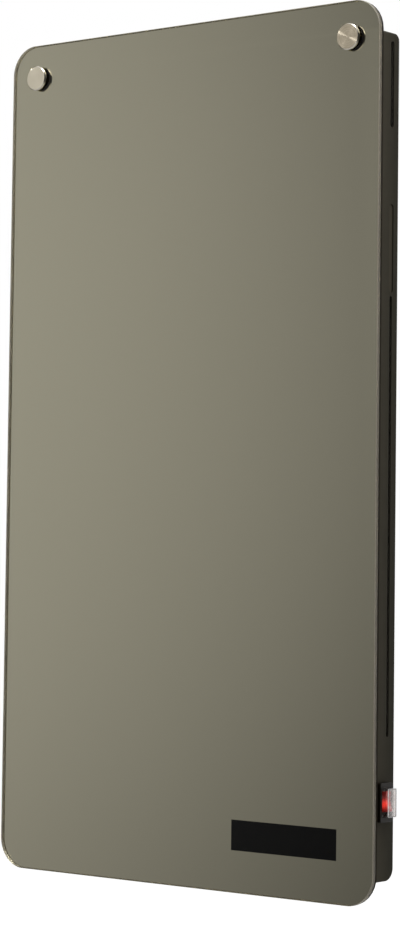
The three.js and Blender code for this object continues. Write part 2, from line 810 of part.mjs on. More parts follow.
// Seen from the front, across the rocker: [outwards, up] with the rocker level
function rockerOutline() {
  const half = [
    [rockerValley, 0], [rockerCrest, rockerTall / 2], [rockerSkirt, rockerFoot / 2],
    [rockerKeelDepth, rockerKeelLength / 2],
  ];
  const lower = half.slice(1).reverse().map(([n, z]) => [n, -z]);
  return polygon([...lower, ...half]);
}

// Hollow from behind, so that the lamp has room in it
function rockerHollow() {
  const reach = rockerTall / 2 - 2 * rockerWall;
  const roof = rockerValley - 2 * rockerWall;
  return polygon([
    [rockerKeelDepth - overrun, -reach], [roof, -reach], [roof, reach], [rockerKeelDepth - overrun, reach],
  ]);
}

function rocker() {
  const inside = rockerWide - 2 * rockerWall;
  const level = backward(rockerOutline(), -rockerWide / 2, rockerWide);
  const pinLength = pocketWide + 2 * pivotReach;
  const pin = backward(circle(pivotDepth, 0, pivotRadius), -pinLength / 2, pinLength);
  const hollow = backward(rockerHollow(), -inside / 2, inside);
  const solid = cut(join(level, pin), hollow);
  const tilt = THREE.MathUtils.degToRad(-rockerTilt);
  return atSwitch(solid.translate(-pivotDepth, 0, 0).rotateY(tilt).translate(pivotDepth, 0, 0));
}

function switchLamp() {
  const glow = new THREE.CylinderGeometry(lampRadius, lampRadius, lampLength, smallRoundSteps)
    .rotateX(Math.PI / 2);
  const floor = bodyWall - bodyDepth + seatGap;
  const stem = sideways(circle(0, 0, lampStem), floor, -floor);
  return atSwitch(join(glow, stem));
}

function switchBlade(index) {
  const z = (index - (bladeCount - 1) / 2) * (bodyTall / bladeCount);
  return atSwitch(block(-bodyDepth - seatGap - bladeLength, -bladeWide / 2, z - bladeThick / 2,
    -bodyDepth - seatGap, bladeWide / 2, z + bladeThick / 2));
}

function splashCover() {
  const face = switchSection(coverWide - 2 * coverRound, coverTall - 2 * coverRound, coverRound);
  const outer = bevelled(face, coverReach - coverRound - seatGap, coverRound, foldSteps)
    .applyMatrix4(toSide).translate(seatGap, 0, 0);
  const rear = block(-coverReach, -coverTall, -coverTall, seatGap, coverTall, coverTall);
  const foot = sideways(
    switchSection(coverWide + 2 * coverFoot, coverTall + 2 * coverFoot, coverRound), seatGap, coverFootThick);
  const hollow = sideways(
    switchSection(coverWide - 2 * coverWall, coverTall - 2 * coverWall, 2 * coverRound - coverWall),
    -overrun, coverReach - coverWall + overrun);
  return atSwitch(cut(join(outer, foot), rear, hollow));
}

function switchBezel() {
  const [wide, tall] = [bezelWide - 2 * bezelArris, bezelTall - 2 * bezelArris];
  const frame = bevelled(switchSection(wide, tall, bezelCorner - bezelArris),
    bezelThick - bezelArris, bezelArris, foldSteps)
    .applyMatrix4(toSide).translate(seatGap, 0, 0);
  const rear = block(-bezelThick, -bezelTall, -bezelTall, seatGap, bezelTall, bezelTall);
  const opening = sideways(
    switchSection(coverWide + 2 * holeGap, coverTall + 2 * holeGap, 2 * coverRound + holeGap),
    -overrun, bezelThick + 2 * overrun);
  const rebate = sideways(
    switchSection(coverWide + 2 * (coverFoot + holeGap), coverTall + 2 * (coverFoot + holeGap), coverRound),
    -overrun, overrun + coverFootThick + 2 * seatGap);
  return atSwitch(cut(frame, rear, opening, rebate));
}

// Wire looms, each a run of wires held together by a sleeve

// Straight runs between the corners, with each corner rounded as far as its runs allow
function route(corners) {
  const points = corners.map(([x, y, z]) => new THREE.Vector3(x, y, z));
  const path = new THREE.CurvePath();
  let from = points[0];
  for (let at = 1; at < points.length - 1; at += 1) {
    const [before, corner, after] = [points[at - 1], points[at], points[at + 1]];
    const bend = Math.min(loomBend, before.distanceTo(corner) / 2, corner.distanceTo(after) / 2);
    const enter = corner.clone().add(before.clone().sub(corner).setLength(bend));
    const leave = corner.clone().add(after.clone().sub(corner).setLength(bend));
    path.add(new THREE.LineCurve3(from, enter));
    path.add(new THREE.QuadraticBezierCurve3(enter, corner, leave));
    from = leave;
  }
  path.add(new THREE.LineCurve3(from, points[points.length - 1]));
  return path;
}

const loom = (corners) => new THREE.ExtrudeGeometry(
  circle(0, 0, loomRadius, loomSides), { steps: loomSteps, extrudePath: route(corners) });

// From the terminals along the underside to the switch
function mainsLoom() {
  const start = inletX + terminalWidth / 2 + seatGap;
  const level = casingBottom + terminalRise + terminalHeight / 2;
  const along = rearInner - seatGap - terminalDepth + loomRadius;
  const bed = casingBottom + sheet + seatGap + loomRadius;
  const end = casingSide - bodyDepth - bladeLength - 2 * seatGap - loomRadius;
  return loom([
    [start, along, level], [start + 2 * loomBend, along, level], [start + 2 * loomBend, along, bed],
    [end, along, bed], [end, switchY, bed], [end, switchY, switchZ + bodyTall / 2],
  ]);
}

// From the control board up, and forward through the tray and the insulation to the film
function heaterLoom() {
  const back = boardFront - seatGap - loomRadius;
  return loom([
    [controlX, back, controlZ + controlHeight / 2 - componentInset], [controlX, back, filmLoomZ],
    [controlX, insulationFront + seatGap, filmLoomZ],
  ]);
}

// From the display board back, and up to the control board
function displayLoom() {
  const front = glassThick + housingWall + boardThick + 3 * seatGap;
  const back = boardFront - seatGap - loomRadius;
  const x = supplyX + (supplyWidth - 3 * loomRadius) / 2;
  return loom([
    [x, front, windowZ], [x, back, windowZ], [x, back, controlZ - controlHeight / 2 + 2 * loomRadius],
  ]);
}

// Wall bracket, drawn in the frame of the wall

function wallBracket() {
  const top = bracketHeight / 2;
  const face = centredRectangle(0, 0, 2 * bracketSide, bracketHeight, bracketCorner);
  const plate = backward(face, -bracketSheet, bracketSheet);
  const lipFront = -wallGap - sheet - hookPlay - bracketSheet;
  const profile = polygon([
    [-bracketSheet / 2, top - bracketSheet], [-bracketSheet / 2, top], [lipFront + bracketSheet, top],
    [lipFront + bracketSheet, top + hookLip], [lipFront, top + hookLip], [lipFront, top - bracketSheet],
  ]);
  const hooks = [-hookX, hookX].map((x) => sideways(profile, x - hookWidth / 2, hookWidth));
  const outerScrewX = bracketSide - outerScrewInset;
  const slots = [-outerScrewX, -innerScrewReach, innerScrewReach, outerScrewX].map((x) => backward(
    centredRectangle(x, 0, screwSlotWidth, screwSlotLength, screwSlotWidth / 2),
    -bracketSheet - overrun, 2 * overrun + bracketSheet));
  return cut(join(plate, ...hooks), ...slots);
}

// Rubber pads that keep the lower end of the casing off the wall
const wallPad = (x) =>
  ring(x, casingBottom + padRise, padRadius, studRadius, casingRear + seatGap, wallGap - seatGap);

// Assembly

add(object, 'wall_bracket', wallBracket(), zincSteel);

add(heater, 'mirror_glass', mirrorGlass(), mirror);
add(heater, 'edge_seal', edgeSeal(), rubber);
add(heater, 'display_window', displayWindow(), blackLens);
add(heater, 'display_housing', displayHousing(), blackPlastic);
add(heater, 'display_board', displayBoard(), boardGreen);
add(heater, 'heating_film', heatingFilm(), carbonFilm);
add(heater, 'insulation_board', insulationBoard(), mineralBoard);
add(heater, 'support_tray', supportTray(), bareTray);
add(heater, 'thermal_cutout', thermalCutout(), zincSteel);

add(heater, 'rear_shell', rearShell(), blackPaint);
add(heater, 'front_frame', frontFrame(), blackPaint);
frameScrewPlaces().forEach(([x, z], index) => {
  add(heater, `frame_screw_${index + 1}`, frameScrew(x, z), zincSteel);
});

for (const [name, side] of [['left', -1], ['right', 1]]) {
  add(heater, `${name}_cheek`, sideCheek(side), blackPaint);
  add(heater, `${name}_slot_blank`, slotBlank(side), blackPaint);

  const x = side * fixingX;
  add(heater, `${name}_cap`, fixingCap(x), brushedSteel);
  add(heater, `${name}_front_washer`, frontWasher(x), rubber);
  add(heater, `${name}_rear_washer`, rearWasher(x), nylon);
  add(heater, `${name}_barrel`, barrel(x), brushedSteel);
  add(heater, `${name}_stud`, fixingStud(x), zincSteel);
  add(heater, `${name}_nut`, studNut(x, fixingZ), zincSteel);

  const low = side * bondX;
  add(heater, `${name}_bonded_stud`, bondedStud(low), zincSteel);
  add(heater, `${name}_low_spacer`, lowSpacer(low), rubber);
  add(heater, `${name}_low_nut`, studNut(low, lowStudZ), zincSteel);
  add(heater, `${name}_wall_pad`, wallPad(side * (casingSide - padInset)), rubber);
}

add(heater, 'control_carrier', controlCarrier(), blackPlastic);
add(heater, 'control_board', controlBoard(), boardGreen);
add(heater, 'relay', boardComponent(relayX, relayZ, relayWidth, relayDepth, relayHeight), relayBlue);
add(heater, 'power_supply',
  boardComponent(supplyX, supplyZ, supplyWidth, supplyDepth, supplyHeight), blackPlastic);
add(heater, 'room_sensor', roomSensor(), nylon);

add(heater, 'gland_body', glandBody(), blackPlastic);
add(heater, 'gland_nut', glandNut(), blackPlastic);
add(heater, 'gland_dome', glandDome(), blackPlastic);
add(heater, 'terminal_block', terminalBlock(), nylon);

add(heater, 'switch_bezel', switchBezel(), blackPlastic);
add(heater, 'splash_cover', splashCover(), clearPlastic);
add(heater, 'switch_body', switchBody(), blackPlastic);
add(heater, 'rocker', rocker(), redPlastic);
add(heater, 'switch_lamp', switchLamp(), nylon);
for (let blade = 0; blade < bladeCount; blade += 1) {
  add(heater, `switch_blade_${blade + 1}`, switchBlade(blade), brass);
}

add(heater, 'mains_loom', mainsLoom(), sleeve);
add(heater, 'heater_loom', heaterLoom(), sleeve);
add(heater, 'display_loom', displayLoom(), sleeve);

export default object;
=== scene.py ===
import json
import math

import bmesh
import bpy
from mathutils import Matrix, Vector
from mathutils.geometry import tessellate_polygon

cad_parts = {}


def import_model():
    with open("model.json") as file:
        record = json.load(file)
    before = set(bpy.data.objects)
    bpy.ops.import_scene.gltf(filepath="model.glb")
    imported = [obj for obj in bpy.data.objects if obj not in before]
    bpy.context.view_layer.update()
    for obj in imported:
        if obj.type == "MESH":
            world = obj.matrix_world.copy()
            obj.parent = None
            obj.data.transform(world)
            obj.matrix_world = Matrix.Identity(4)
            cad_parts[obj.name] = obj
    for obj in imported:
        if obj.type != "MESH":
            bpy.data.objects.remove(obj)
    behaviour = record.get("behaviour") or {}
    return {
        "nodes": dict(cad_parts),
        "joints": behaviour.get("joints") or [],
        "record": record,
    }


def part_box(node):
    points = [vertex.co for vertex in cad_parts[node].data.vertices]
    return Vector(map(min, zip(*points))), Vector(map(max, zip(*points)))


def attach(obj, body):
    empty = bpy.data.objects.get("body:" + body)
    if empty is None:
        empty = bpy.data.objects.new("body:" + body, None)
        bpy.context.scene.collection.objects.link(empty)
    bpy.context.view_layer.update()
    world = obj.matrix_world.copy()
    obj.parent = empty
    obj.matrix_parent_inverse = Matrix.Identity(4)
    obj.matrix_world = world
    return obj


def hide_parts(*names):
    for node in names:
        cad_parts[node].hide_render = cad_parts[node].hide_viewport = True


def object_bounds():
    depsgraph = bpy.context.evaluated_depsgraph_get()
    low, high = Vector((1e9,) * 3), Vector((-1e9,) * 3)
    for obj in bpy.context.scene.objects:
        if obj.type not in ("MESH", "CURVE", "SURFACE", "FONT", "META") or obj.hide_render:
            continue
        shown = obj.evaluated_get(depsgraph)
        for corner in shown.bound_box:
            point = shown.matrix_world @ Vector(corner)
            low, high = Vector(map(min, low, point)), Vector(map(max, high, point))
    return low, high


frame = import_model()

CAD_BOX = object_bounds()
MM = 0.001
BODY = "heater"

# How finely round things are made, and what is too small to count
CORNER_STEPS = 20
FOLD_STEPS = 5
SHARP = math.radians(32)
SAME_PLACE = 0.002 * MM
DEGENERATE = 0.001 * MM
NO_RADIUS = 0.02 * MM

# Between pieces that fit in one another
GAP = 0.3 * MM

# Mirror glass
GLASS_CORNER = 35 * MM
GLASS_ARRIS = 0.7 * MM
FIXING_HOLE = 4.4 * MM
COATING_DEPTH = 0.1 * MM
PAINT_DEPTH = 0.08 * MM

# Casing
SHEET = 1.2 * MM
CHEEK_FOLD = 2.5 * MM
CHEEK_FLANGE = 8 * MM
CASING_RADII = (2 * MM, 14 * MM, 8 * MM, 2 * MM)
SLOT_ARRIS = 0.25 * MM
SLOT_SETBACK = 14.3 * MM
HOOK_X = 150 * MM
BEAD_HALF = 13 * MM
BEAD_DEPTH = 1.5 * MM
BEAD_EDGE = 4 * MM
BEAD_END = 130 * MM
STUD_HOLE = 3.3 * MM
SCREW_HOLE = 2.2 * MM

# Wall bracket and cord gland
BRACKET_SHEET = 2.5 * MM
HOOK_RISE = 12 * MM
HOOK_HALF = 20 * MM
GLAND_BORE = 4.2 * MM
GLAND_HOLE = 8.3 * MM

# Switch. The rocker's slopes rise from its valley by the power HOLLOW
COVER_FOOT = 1.6 * MM
HOLLOW = 1.25
ROCKER = {joint["name"]: joint for joint in frame["joints"]}["rocker_tilt"]
PIVOT = Vector(ROCKER["pos_m"])
LAMP_AT = tuple(PIVOT + Vector((9 * MM, -3 * MM, -1.5 * MM)))

# Colours of the casing's paint and of zinc; the two cheek colours are painted light at the front and painted
# shade at the back
BLACK = (0.049, 0.043, 0.031)
CHEEK_PAINTED_LIGHT_FRONT = (0.070, 0.061, 0.044)
CHEEK_PAINTED_SHADE_BACK = (0.022, 0.0205, 0.0145)
ZINC = (0.55, 0.56, 0.55)

# Camera, fitted to the edges of the glass and the casing in the photograph
FRAME_HEIGHT_PX = 941
FOCAL_PX = 2642.8
CENTRE_ROW_PX = 380
CAMERA_AT = (1.9337, -2.4591, -0.4366)
CAMERA_YAW = math.radians(38.744)
CAMERA_PITCH = math.radians(-3.503)
CAMERA_ROLL = math.radians(0.716)

# Floor and light
FLOOR_DROP = 0.55
FLOOR_RADIUS = 30.0
ROOM_LEVEL = 0.053
POOL_LEVEL = 0.4414
FILL_LEVEL = 0.42


# Places and outlines

def middle(node):
    """The centre of a node's box."""
    low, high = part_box(node)
    return (low + high) / 2


def rounded(low_u, low_v, high_u, high_v, radii, inset=0.0, steps=CORNER_STEPS):
    """A rectangle with its corners rounded one by one, shrunk by inset."""
    radii = radii if isinstance(radii, tuple) else (radii,) * 4
    corners = ((low_u, low_v, 1, 1), (high_u, low_v, -1, 1), (high_u, high_v, -1, -1), (low_u, high_v, 1, -1))
    points = []
    for number, (u, v, in_u, in_v) in enumerate(corners):
        radius = max(radii[number] - inset, NO_RADIUS)
        reach = radius + inset
        for step in range(steps + 1):
            angle = math.pi * (1 + number / 2 + step / steps / 2)
            points.append((u + in_u * reach + radius * math.cos(angle),
                           v + in_v * reach + radius * math.sin(angle)))
    return points


def slot_outline(u, v, length, width, grown, steps):
    """An upright slot with round ends, grown on each side."""
    half, reach = width / 2 + grown, length / 2 + grown
    return rounded(u - half, v - reach, u + half, v + reach, half, 0, steps)


def circle(u, v, radius, steps=48):
    """A closed row of points round a centre."""
    return [(u + radius * math.cos(2 * math.pi * n / steps), v + radius * math.sin(2 * math.pi * n / steps))
            for n in range(steps)]


def arc(centre_r, centre_a, radius, start, end, steps=FOLD_STEPS):
    """Points of a profile's rounded edge, from one angle to another in degrees."""
    return [(centre_r + radius * math.cos(math.radians(start + (end - start) * n / steps)),
             centre_a + radius * math.sin(math.radians(start + (end - start) * n / steps)))
            for n in range(steps + 1)]


def rounded_edge(outline, at, radius, skin=0.0, steps=FOLD_STEPS):
    """The levels of a rounded edge, from the face round to the side, skin deep under the surface."""
    levels = []
    for step in range(steps + 1):
        angle = math.pi / 2 * step / steps
        levels.append((outline(skin + radius * (1 - math.sin(angle))),
                       at(skin + radius * (1 - math.cos(angle)))))
    return levels


def front(u, v, w):
    """Drawn in x and z, with depth along y."""
    return Vector((u, w, v))


def side(u, v, w):
    """Drawn in y and z, with depth along x."""
    return Vector((w, u, v))


def level(u, v, w):
    """Drawn in x and y, with depth along z."""
    return Vector((u, v, w))


# Meshes

class Piece:
    """Collects the faces of one object."""

    def __init__(self):
        self.bm = bmesh.new()

    def loop(self, outline, plane, depth):
        """A closed row of corners at one depth."""
        return [self.bm.verts.new(plane(u, v, depth)) for u, v in outline]

    def wall(self, first, second, material=0):
        """Faces from one row to the next."""
        count = len(first)
        for n in range(count):
            m = (n + 1) % count
            face = self.bm.faces.new((first[n], first[m], second[m], second[n]))
            face.material_index = material

    def cap(self, loops, material=0):
        """A flat face inside the first row and outside the others."""
        corners = [vert for loop in loops for vert in loop]
        for triangle in tessellate_polygon([[vert.co for vert in loop] for loop in loops]):
            face = self.bm.faces.new([corners[n] for n in triangle])
            face.material_index = material

    def slab(self, plane, outer, holes=()):
        """A solid between two faces. outer and each hole are lists of (outline, depth), from face to face."""
        ends = [[], []]
        for levels in (outer, *holes):
            loops = [self.loop(outline, plane, depth) for outline, depth in levels]
            for first, second in zip(loops, loops[1:]):
                self.wall(first, second)
            ends[0].append(loops[0])
            ends[1].append(loops[-1])
        self.cap(ends[0])
        self.cap(ends[1])

    def turned(self, profile, centre, axis, steps, materials=None, ribs=None):
        """A solid of revolution, or a ring where the profile ends at its start.

        profile is (radius, distance along axis), from end to end.
        """
        materials = materials or [0] * len(profile)
        rings = []
        for radius, along in profile:
            ring = []
            for n in range(steps):
                angle = 2 * math.pi * n / steps
                r = radius * (ribs(angle, along) if ribs else 1)
                place = [r * math.cos(angle), r * math.sin(angle)]
                place.insert(axis, along)
                ring.append(self.bm.verts.new(Vector(centre) + Vector(place)))
            rings.append(ring)
        for n, (first, second) in enumerate(zip(rings, rings[1:])):
            self.wall(first, second, materials[n])
        if profile[0] != profile[-1]:
            self.cap([rings[0]], materials[0])
            self.cap([rings[-1]], materials[-1])

    def made(self, name, slot, materials, replaces=(), body=BODY):
        """The finished object, with flat faces flat and round ones smooth."""
        bm = self.bm
        bmesh.ops.remove_doubles(bm, verts=bm.verts, dist=SAME_PLACE)
        bmesh.ops.dissolve_degenerate(bm, edges=bm.edges, dist=DEGENERATE)
        bmesh.ops.recalc_face_normals(bm, faces=bm.faces)
        return placed(mesh_from(bm, name), name, materials, replaces, body)


def smoothed(bm):
    """Smooth everywhere but at sharp edges."""
    for face in bm.faces:
        face.smooth = True
    for edge in bm.edges:
        edge.smooth = edge.calc_face_angle(0) < SHARP


def mesh_from(bm, name):
    """The faces as a mesh, with its sharp edges marked."""
    smoothed(bm)
    mesh = bpy.data.meshes.new(name)
    bm.to_mesh(mesh)
    bm.free()
    return mesh


def placed(mesh, name, materials, replaces=(), body=BODY):
    """The mesh as a piece of the object, on its body and in place of the nodes that it replaces."""
    piece = bpy.data.objects.new(name, mesh)
    bpy.context.scene.collection.objects.link(piece)
    for material in materials if isinstance(materials, (list, tuple)) else [materials]:
        mesh.materials.append(material)
    piece.modifiers.new("flat_faces", "WEIGHTED_NORMAL").keep_sharp = True
    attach(piece, body)
    if replaces:
        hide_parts(*replaces)
    return piece


def tool(make):
    """A solid to cut away or to join, made by filling a Piece."""
    filled = Piece()
    make(filled)
    bmesh.ops.remove_doubles(filled.bm, verts=filled.bm.verts, dist=SAME_PLACE)
    bmesh.ops.recalc_face_normals(filled.bm, faces=filled.bm.faces)
    mesh = bpy.data.meshes.new("tool")
    filled.bm.to_mesh(mesh)
    filled.bm.free()
    made = bpy.data.objects.new("tool", mesh)
    bpy.context.scene.collection.objects.link(made)
    return made


def bar(plane, outline, start, end):
    """A tool with one outline from start to end."""
    return tool(lambda filled: filled.slab(plane, [(outline, start), (outline, end)]))


def apply_first(piece, modifier):
    """Applies a modifier before the piece's other ones."""
    with bpy.context.temp_override(object=piece, active_object=piece):
        bpy.ops.object.modifier_move_to_index(modifier=modifier.name, index=0)
        bpy.ops.object.modifier_apply(modifier=modifier.name)


def combine(piece, operation, tools):
    """Cuts the tools from piece, or joins them to it, and takes them away."""
    for each in tools:
        step = piece.modifiers.new("combine", "BOOLEAN")
        step.operation = operation
        step.solver = "EXACT"
        step.object = each
        apply_first(piece, step)
        bpy.data.objects.remove(each)
    bm = bmesh.new()
    bm.from_mesh(piece.data)
    bmesh.ops.dissolve_degenerate(bm, edges=bm.edges, dist=DEGENERATE)
    smoothed(bm)
    bm.to_mesh(piece.data)
    bm.free()


# Materials

def nodes_of(name):
    """A new material with its nodes and its shader."""
    material = bpy.data.materials.new(name)
    material.use_nodes = True
    tree = material.node_tree
    return material, tree, tree.nodes["Principled BSDF"]


def add(tree, kind, **values):
    """A node of one kind, with its properties and the values of its inputs."""
    node = tree.nodes.new("ShaderNode" + kind)
    for key, value in values.items():
        if key == "inputs":
            for socket, setting in value.items():
                node.inputs[socket].default_value = setting
        else:
            setattr(node, key, value)
    return node


def coordinates(tree, stretch=(1, 1, 1)):
    """Places in metres, squeezed along each axis."""
    place = add(tree, "TexCoord")
    scaled = add(tree, "Mapping", inputs={"Scale": stretch})
    tree.links.new(place.outputs["Object"], scaled.inputs["Vector"])
    return scaled.outputs["Vector"]


def noise(tree, scale, detail=3.0, stretch=(1, 1, 1), rough=0.5):
    """A cloudy pattern. scale is how many of its patches fit in a metre."""
    texture = add(tree, "TexNoise", inputs={"Scale": scale, "Detail": detail, "Roughness": rough})
    tree.links.new(coordinates(tree, stretch), texture.inputs["Vector"])
    return texture.outputs["Fac"]


def between(tree, factor, low, high):
    """Two colours mixed by a factor."""
    mix = add(tree, "Mix", data_type="RGBA")
    tree.links.new(factor, mix.inputs["Factor"])
    # A Mix node's two colours are its inputs 6 and 7, and the mixed colour its output 2
    mix.inputs[6].default_value = (*low, 1)
    mix.inputs[7].default_value = (*high, 1)
    return mix.outputs[2]


def ranged(tree, factor, low, high, start=0.3, end=0.7, kind="LINEAR"):
    """A value that goes from low to high while factor goes from start to end."""
    node = add(tree, "MapRange", interpolation_type=kind,
               inputs={"From Min": start, "From Max": end, "To Min": low, "To Max": high})
    tree.links.new(factor, node.inputs["Value"])
    return node.outputs["Result"]


def bumped(tree, shader, height, distance, strength=1.0):
    """Raises the surface by a pattern, in the shading alone."""
    bump = add(tree, "Bump", inputs={"Distance": distance, "Strength": strength})
    tree.links.new(height, bump.inputs["Height"])
    tree.links.new(bump.outputs["Normal"], shader.inputs["Normal"])


def finish(name, colour, roughness, metallic=0.0, mottle=(30, 0.06), spread=0.05,
           grain=(900, 0.02), stretch=(1, 1, 1), **sockets):
    """A surface with a slightly uneven colour and roughness, and a fine grain.

    mottle is (per metre, share of the colour) and grain is (per metre, depth in mm).
    """
    material, tree, shader = nodes_of(name)
    shader.inputs["Metallic"].default_value = metallic
    for socket, value in sockets.items():
        shader.inputs[socket.replace("_", " ")].default_value = value
    patches = noise(tree, mottle[0], 4, stretch)
    dark = [c * (1 - mottle[1]) for c in colour]
    light = [min(c * (1 + mottle[1]), 1) for c in colour]
    tree.links.new(between(tree, patches, dark, light), shader.inputs["Base Color"])
    worn = noise(tree, mottle[0] * 2.7, 3, stretch)
    tree.links.new(ranged(tree, worn, max(roughness - spread, 0.02), roughness + spread),
                   shader.inputs["Roughness"])
    bumped(tree, shader, noise(tree, grain[0], 2, stretch), grain[1] * MM)
    return material


def silver_coating():
    """Grey-bronze mirror coating, with the faint unevenness of float glass."""
    material, tree, shader = nodes_of("silver_coating")
    shader.inputs["Metallic"].default_value = 1.0
    tint = between(tree, noise(tree, 3, 2), (0.838, 0.791, 0.596), (0.858, 0.810, 0.611))
    tree.links.new(tint, shader.inputs["Base Color"])
    haze = noise(tree, 14, 5, rough=0.65)
    tree.links.new(ranged(tree, haze, 0.015, 0.04), shader.inputs["Roughness"])
    bumped(tree, shader, noise(tree, 9, 1), 0.004 * MM)
    return material


def cheek_paint_and_painted_shade():
    """The casing's black paint on its sides, with painted shade that makes it paler towards the glass and
    darker towards the back.
    """
    material, tree, shader = nodes_of("cheek_paint_and_painted_shade")
    shader.inputs["Specular IOR Level"].default_value = 0.05
    low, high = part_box("right_cheek")
    apart = add(tree, "SeparateXYZ")
    tree.links.new(coordinates(tree), apart.inputs["Vector"])
    # Painted shade: the paint's colour darkens from the front of the cheek to its back
    near = ranged(tree, apart.outputs["Y"], 1.0, 0.0, low.y, high.y)
    uneven = add(tree, "Math", operation="MULTIPLY_ADD", inputs={1: 0.2, 2: -0.1})
    tree.links.new(noise(tree, 45, 4), uneven.inputs[0])
    both = add(tree, "Math", operation="ADD", use_clamp=True)
    tree.links.new(near, both.inputs[0])
    tree.links.new(uneven.outputs[0], both.inputs[1])
    tree.links.new(between(tree, both.outputs[0], CHEEK_PAINTED_SHADE_BACK, CHEEK_PAINTED_LIGHT_FRONT), shader.inputs["Base Color"])
    tree.links.new(ranged(tree, noise(tree, 120, 3), 0.55, 0.65), shader.inputs["Roughness"])
    bumped(tree, shader, noise(tree, 1300, 2), 0.035 * MM)
    return material


def float_glass():
    """Clear glass, with the faintest trace of cleaning marks."""
    material, tree, shader = nodes_of("float_glass")
    shader.inputs["Transmission Weight"].default_value = 1.0
    shader.inputs["IOR"].default_value = 1.4
    tint = between(tree, noise(tree, 5, 2), (0.985, 0.99, 0.985), (1, 1, 1))
    tree.links.new(tint, shader.inputs["Base Color"])
    tree.links.new(ranged(tree, noise(tree, 40, 4), 0.0, 0.012), shader.inputs["Roughness"])
    bumped(tree, shader, noise(tree, 7, 1), 0.002 * MM)
    return material


def turned_steel(name, dark, light, grooves, roughness):
    """Stainless steel faced on a lathe, with rings round the middle of the cap.

    grooves, from 0 to 1, is how far they draw a lamp's reflection out to a streak.
    """
    material, tree, shader = nodes_of(name)
    shader.inputs["Metallic"].default_value = 0.35
    shader.inputs["Anisotropic"].default_value = grooves
    shader.inputs["Anisotropic Rotation"].default_value = 0.25
    around = add(tree, "Tangent", direction_type="RADIAL", axis="Y")
    tree.links.new(around.outputs["Tangent"], shader.inputs["Tangent"])
    place = add(tree, "TexCoord")
    flat = add(tree, "VectorMath", operation="MULTIPLY_ADD", inputs={1: (1, 0, 1), 2: (-0.5, 0, -0.5)})
    tree.links.new(place.outputs["Generated"], flat.inputs[0])
    radius = add(tree, "VectorMath", operation="LENGTH")
    tree.links.new(flat.outputs["Vector"], radius.inputs[0])
    rings = add(tree, "TexNoise", noise_dimensions="1D", inputs={"Scale": 34.0, "Detail": 3.0})
    tree.links.new(radius.outputs["Value"], rings.inputs["W"])
    tree.links.new(between(tree, rings.outputs["Fac"], dark, light), shader.inputs["Base Color"])
    tree.links.new(ranged(tree, rings.outputs["Fac"], roughness - 0.03, roughness + 0.03),
                   shader.inputs["Roughness"])
    bumped(tree, shader, rings.outputs["Fac"], 0.004 * MM, 0.5)
    return material


def lit_red():
    """Translucent red plastic with a neon lamp behind it, brightest near the lamp."""
    material, tree, shader = nodes_of("lit_red")
    shader.inputs["Roughness"].default_value = 0.22
    shader.inputs["Coat Weight"].default_value = 0.3
    tree.links.new(between(tree, noise(tree, 400, 3), (0.42, 0.012, 0.008), (0.55, 0.02, 0.012)),
                   shader.inputs["Base Color"])
    away = add(tree, "VectorMath", operation="DISTANCE", inputs={1: LAMP_AT})
    tree.links.new(coordinates(tree), away.inputs[0])
    near = ranged(tree, away.outputs["Value"], 1.0, 0.0, 1.0 * MM, 9 * MM, "SMOOTHSTEP")
    glow = between(tree, near, (0.5, 0.004, 0.003), (1.0, 0.055, 0.035))
    tree.links.new(glow, shader.inputs["Emission Color"])
    tree.links.new(ranged(tree, near, 0.10, 0.85, 0, 1), shader.inputs["Emission Strength"])
    bumped(tree, shader, noise(tree, 1500, 2), 0.005 * MM)
    return material


def clear_cover(name, colour, roughness, clear):
    """Soft clear plastic. clear is the share of the light that goes through."""
    material, tree, shader = nodes_of(name)
    shader.inputs["IOR"].default_value = 1.45
    faded = [c * 0.96 for c in colour]
    tree.links.new(between(tree, noise(tree, 90, 2), faded, colour), shader.inputs["Base Color"])
    tree.links.new(ranged(tree, noise(tree, 260, 3), roughness * 0.6, roughness * 1.4),
                   shader.inputs["Roughness"])
    tree.links.new(ranged(tree, noise(tree, 120, 3), clear - 0.03, clear + 0.03),
                   shader.inputs["Transmission Weight"])
    bumped(tree, shader, noise(tree, 300, 2), 0.003 * MM)
    return material


def striped(name, dark, light, per_metre, roughness):
    """Level bands, as of printed carbon or of a woven sleeve."""
    material, tree, shader = nodes_of(name)
    wave = add(tree, "TexWave", wave_type="BANDS", bands_direction="Z",
               inputs={"Scale": per_metre, "Distortion": 0.6, "Detail": 2.0})
    tree.links.new(coordinates(tree), wave.inputs["Vector"])
    tree.links.new(between(tree, wave.outputs["Fac"], dark, light), shader.inputs["Base Color"])
    tree.links.new(ranged(tree, noise(tree, 200, 3), roughness - 0.08, roughness + 0.08),
                   shader.inputs["Roughness"])
    bumped(tree, shader, wave.outputs["Fac"], 0.05 * MM)
    return material


def circuit():
    """Green solder mask with the traces raised a little under it."""
    material, tree, shader = nodes_of("circuit_board")
    cells = add(tree, "TexVoronoi", feature="DISTANCE_TO_EDGE", distance="CHEBYCHEV", inputs={"Scale": 180.0})
    tree.links.new(coordinates(tree), cells.inputs["Vector"])
    trace = ranged(tree, cells.outputs["Distance"], 1.0, 0.0, 0.05, 0.12)
    mask = between(tree, trace, (0.008, 0.07, 0.025), (0.02, 0.16, 0.06))
    tree.links.new(mask, shader.inputs["Base Color"])
    tree.links.new(ranged(tree, noise(tree, 300, 2), 0.3, 0.45), shader.inputs["Roughness"])
    bumped(tree, shader, trace, 0.03 * MM)
    return material


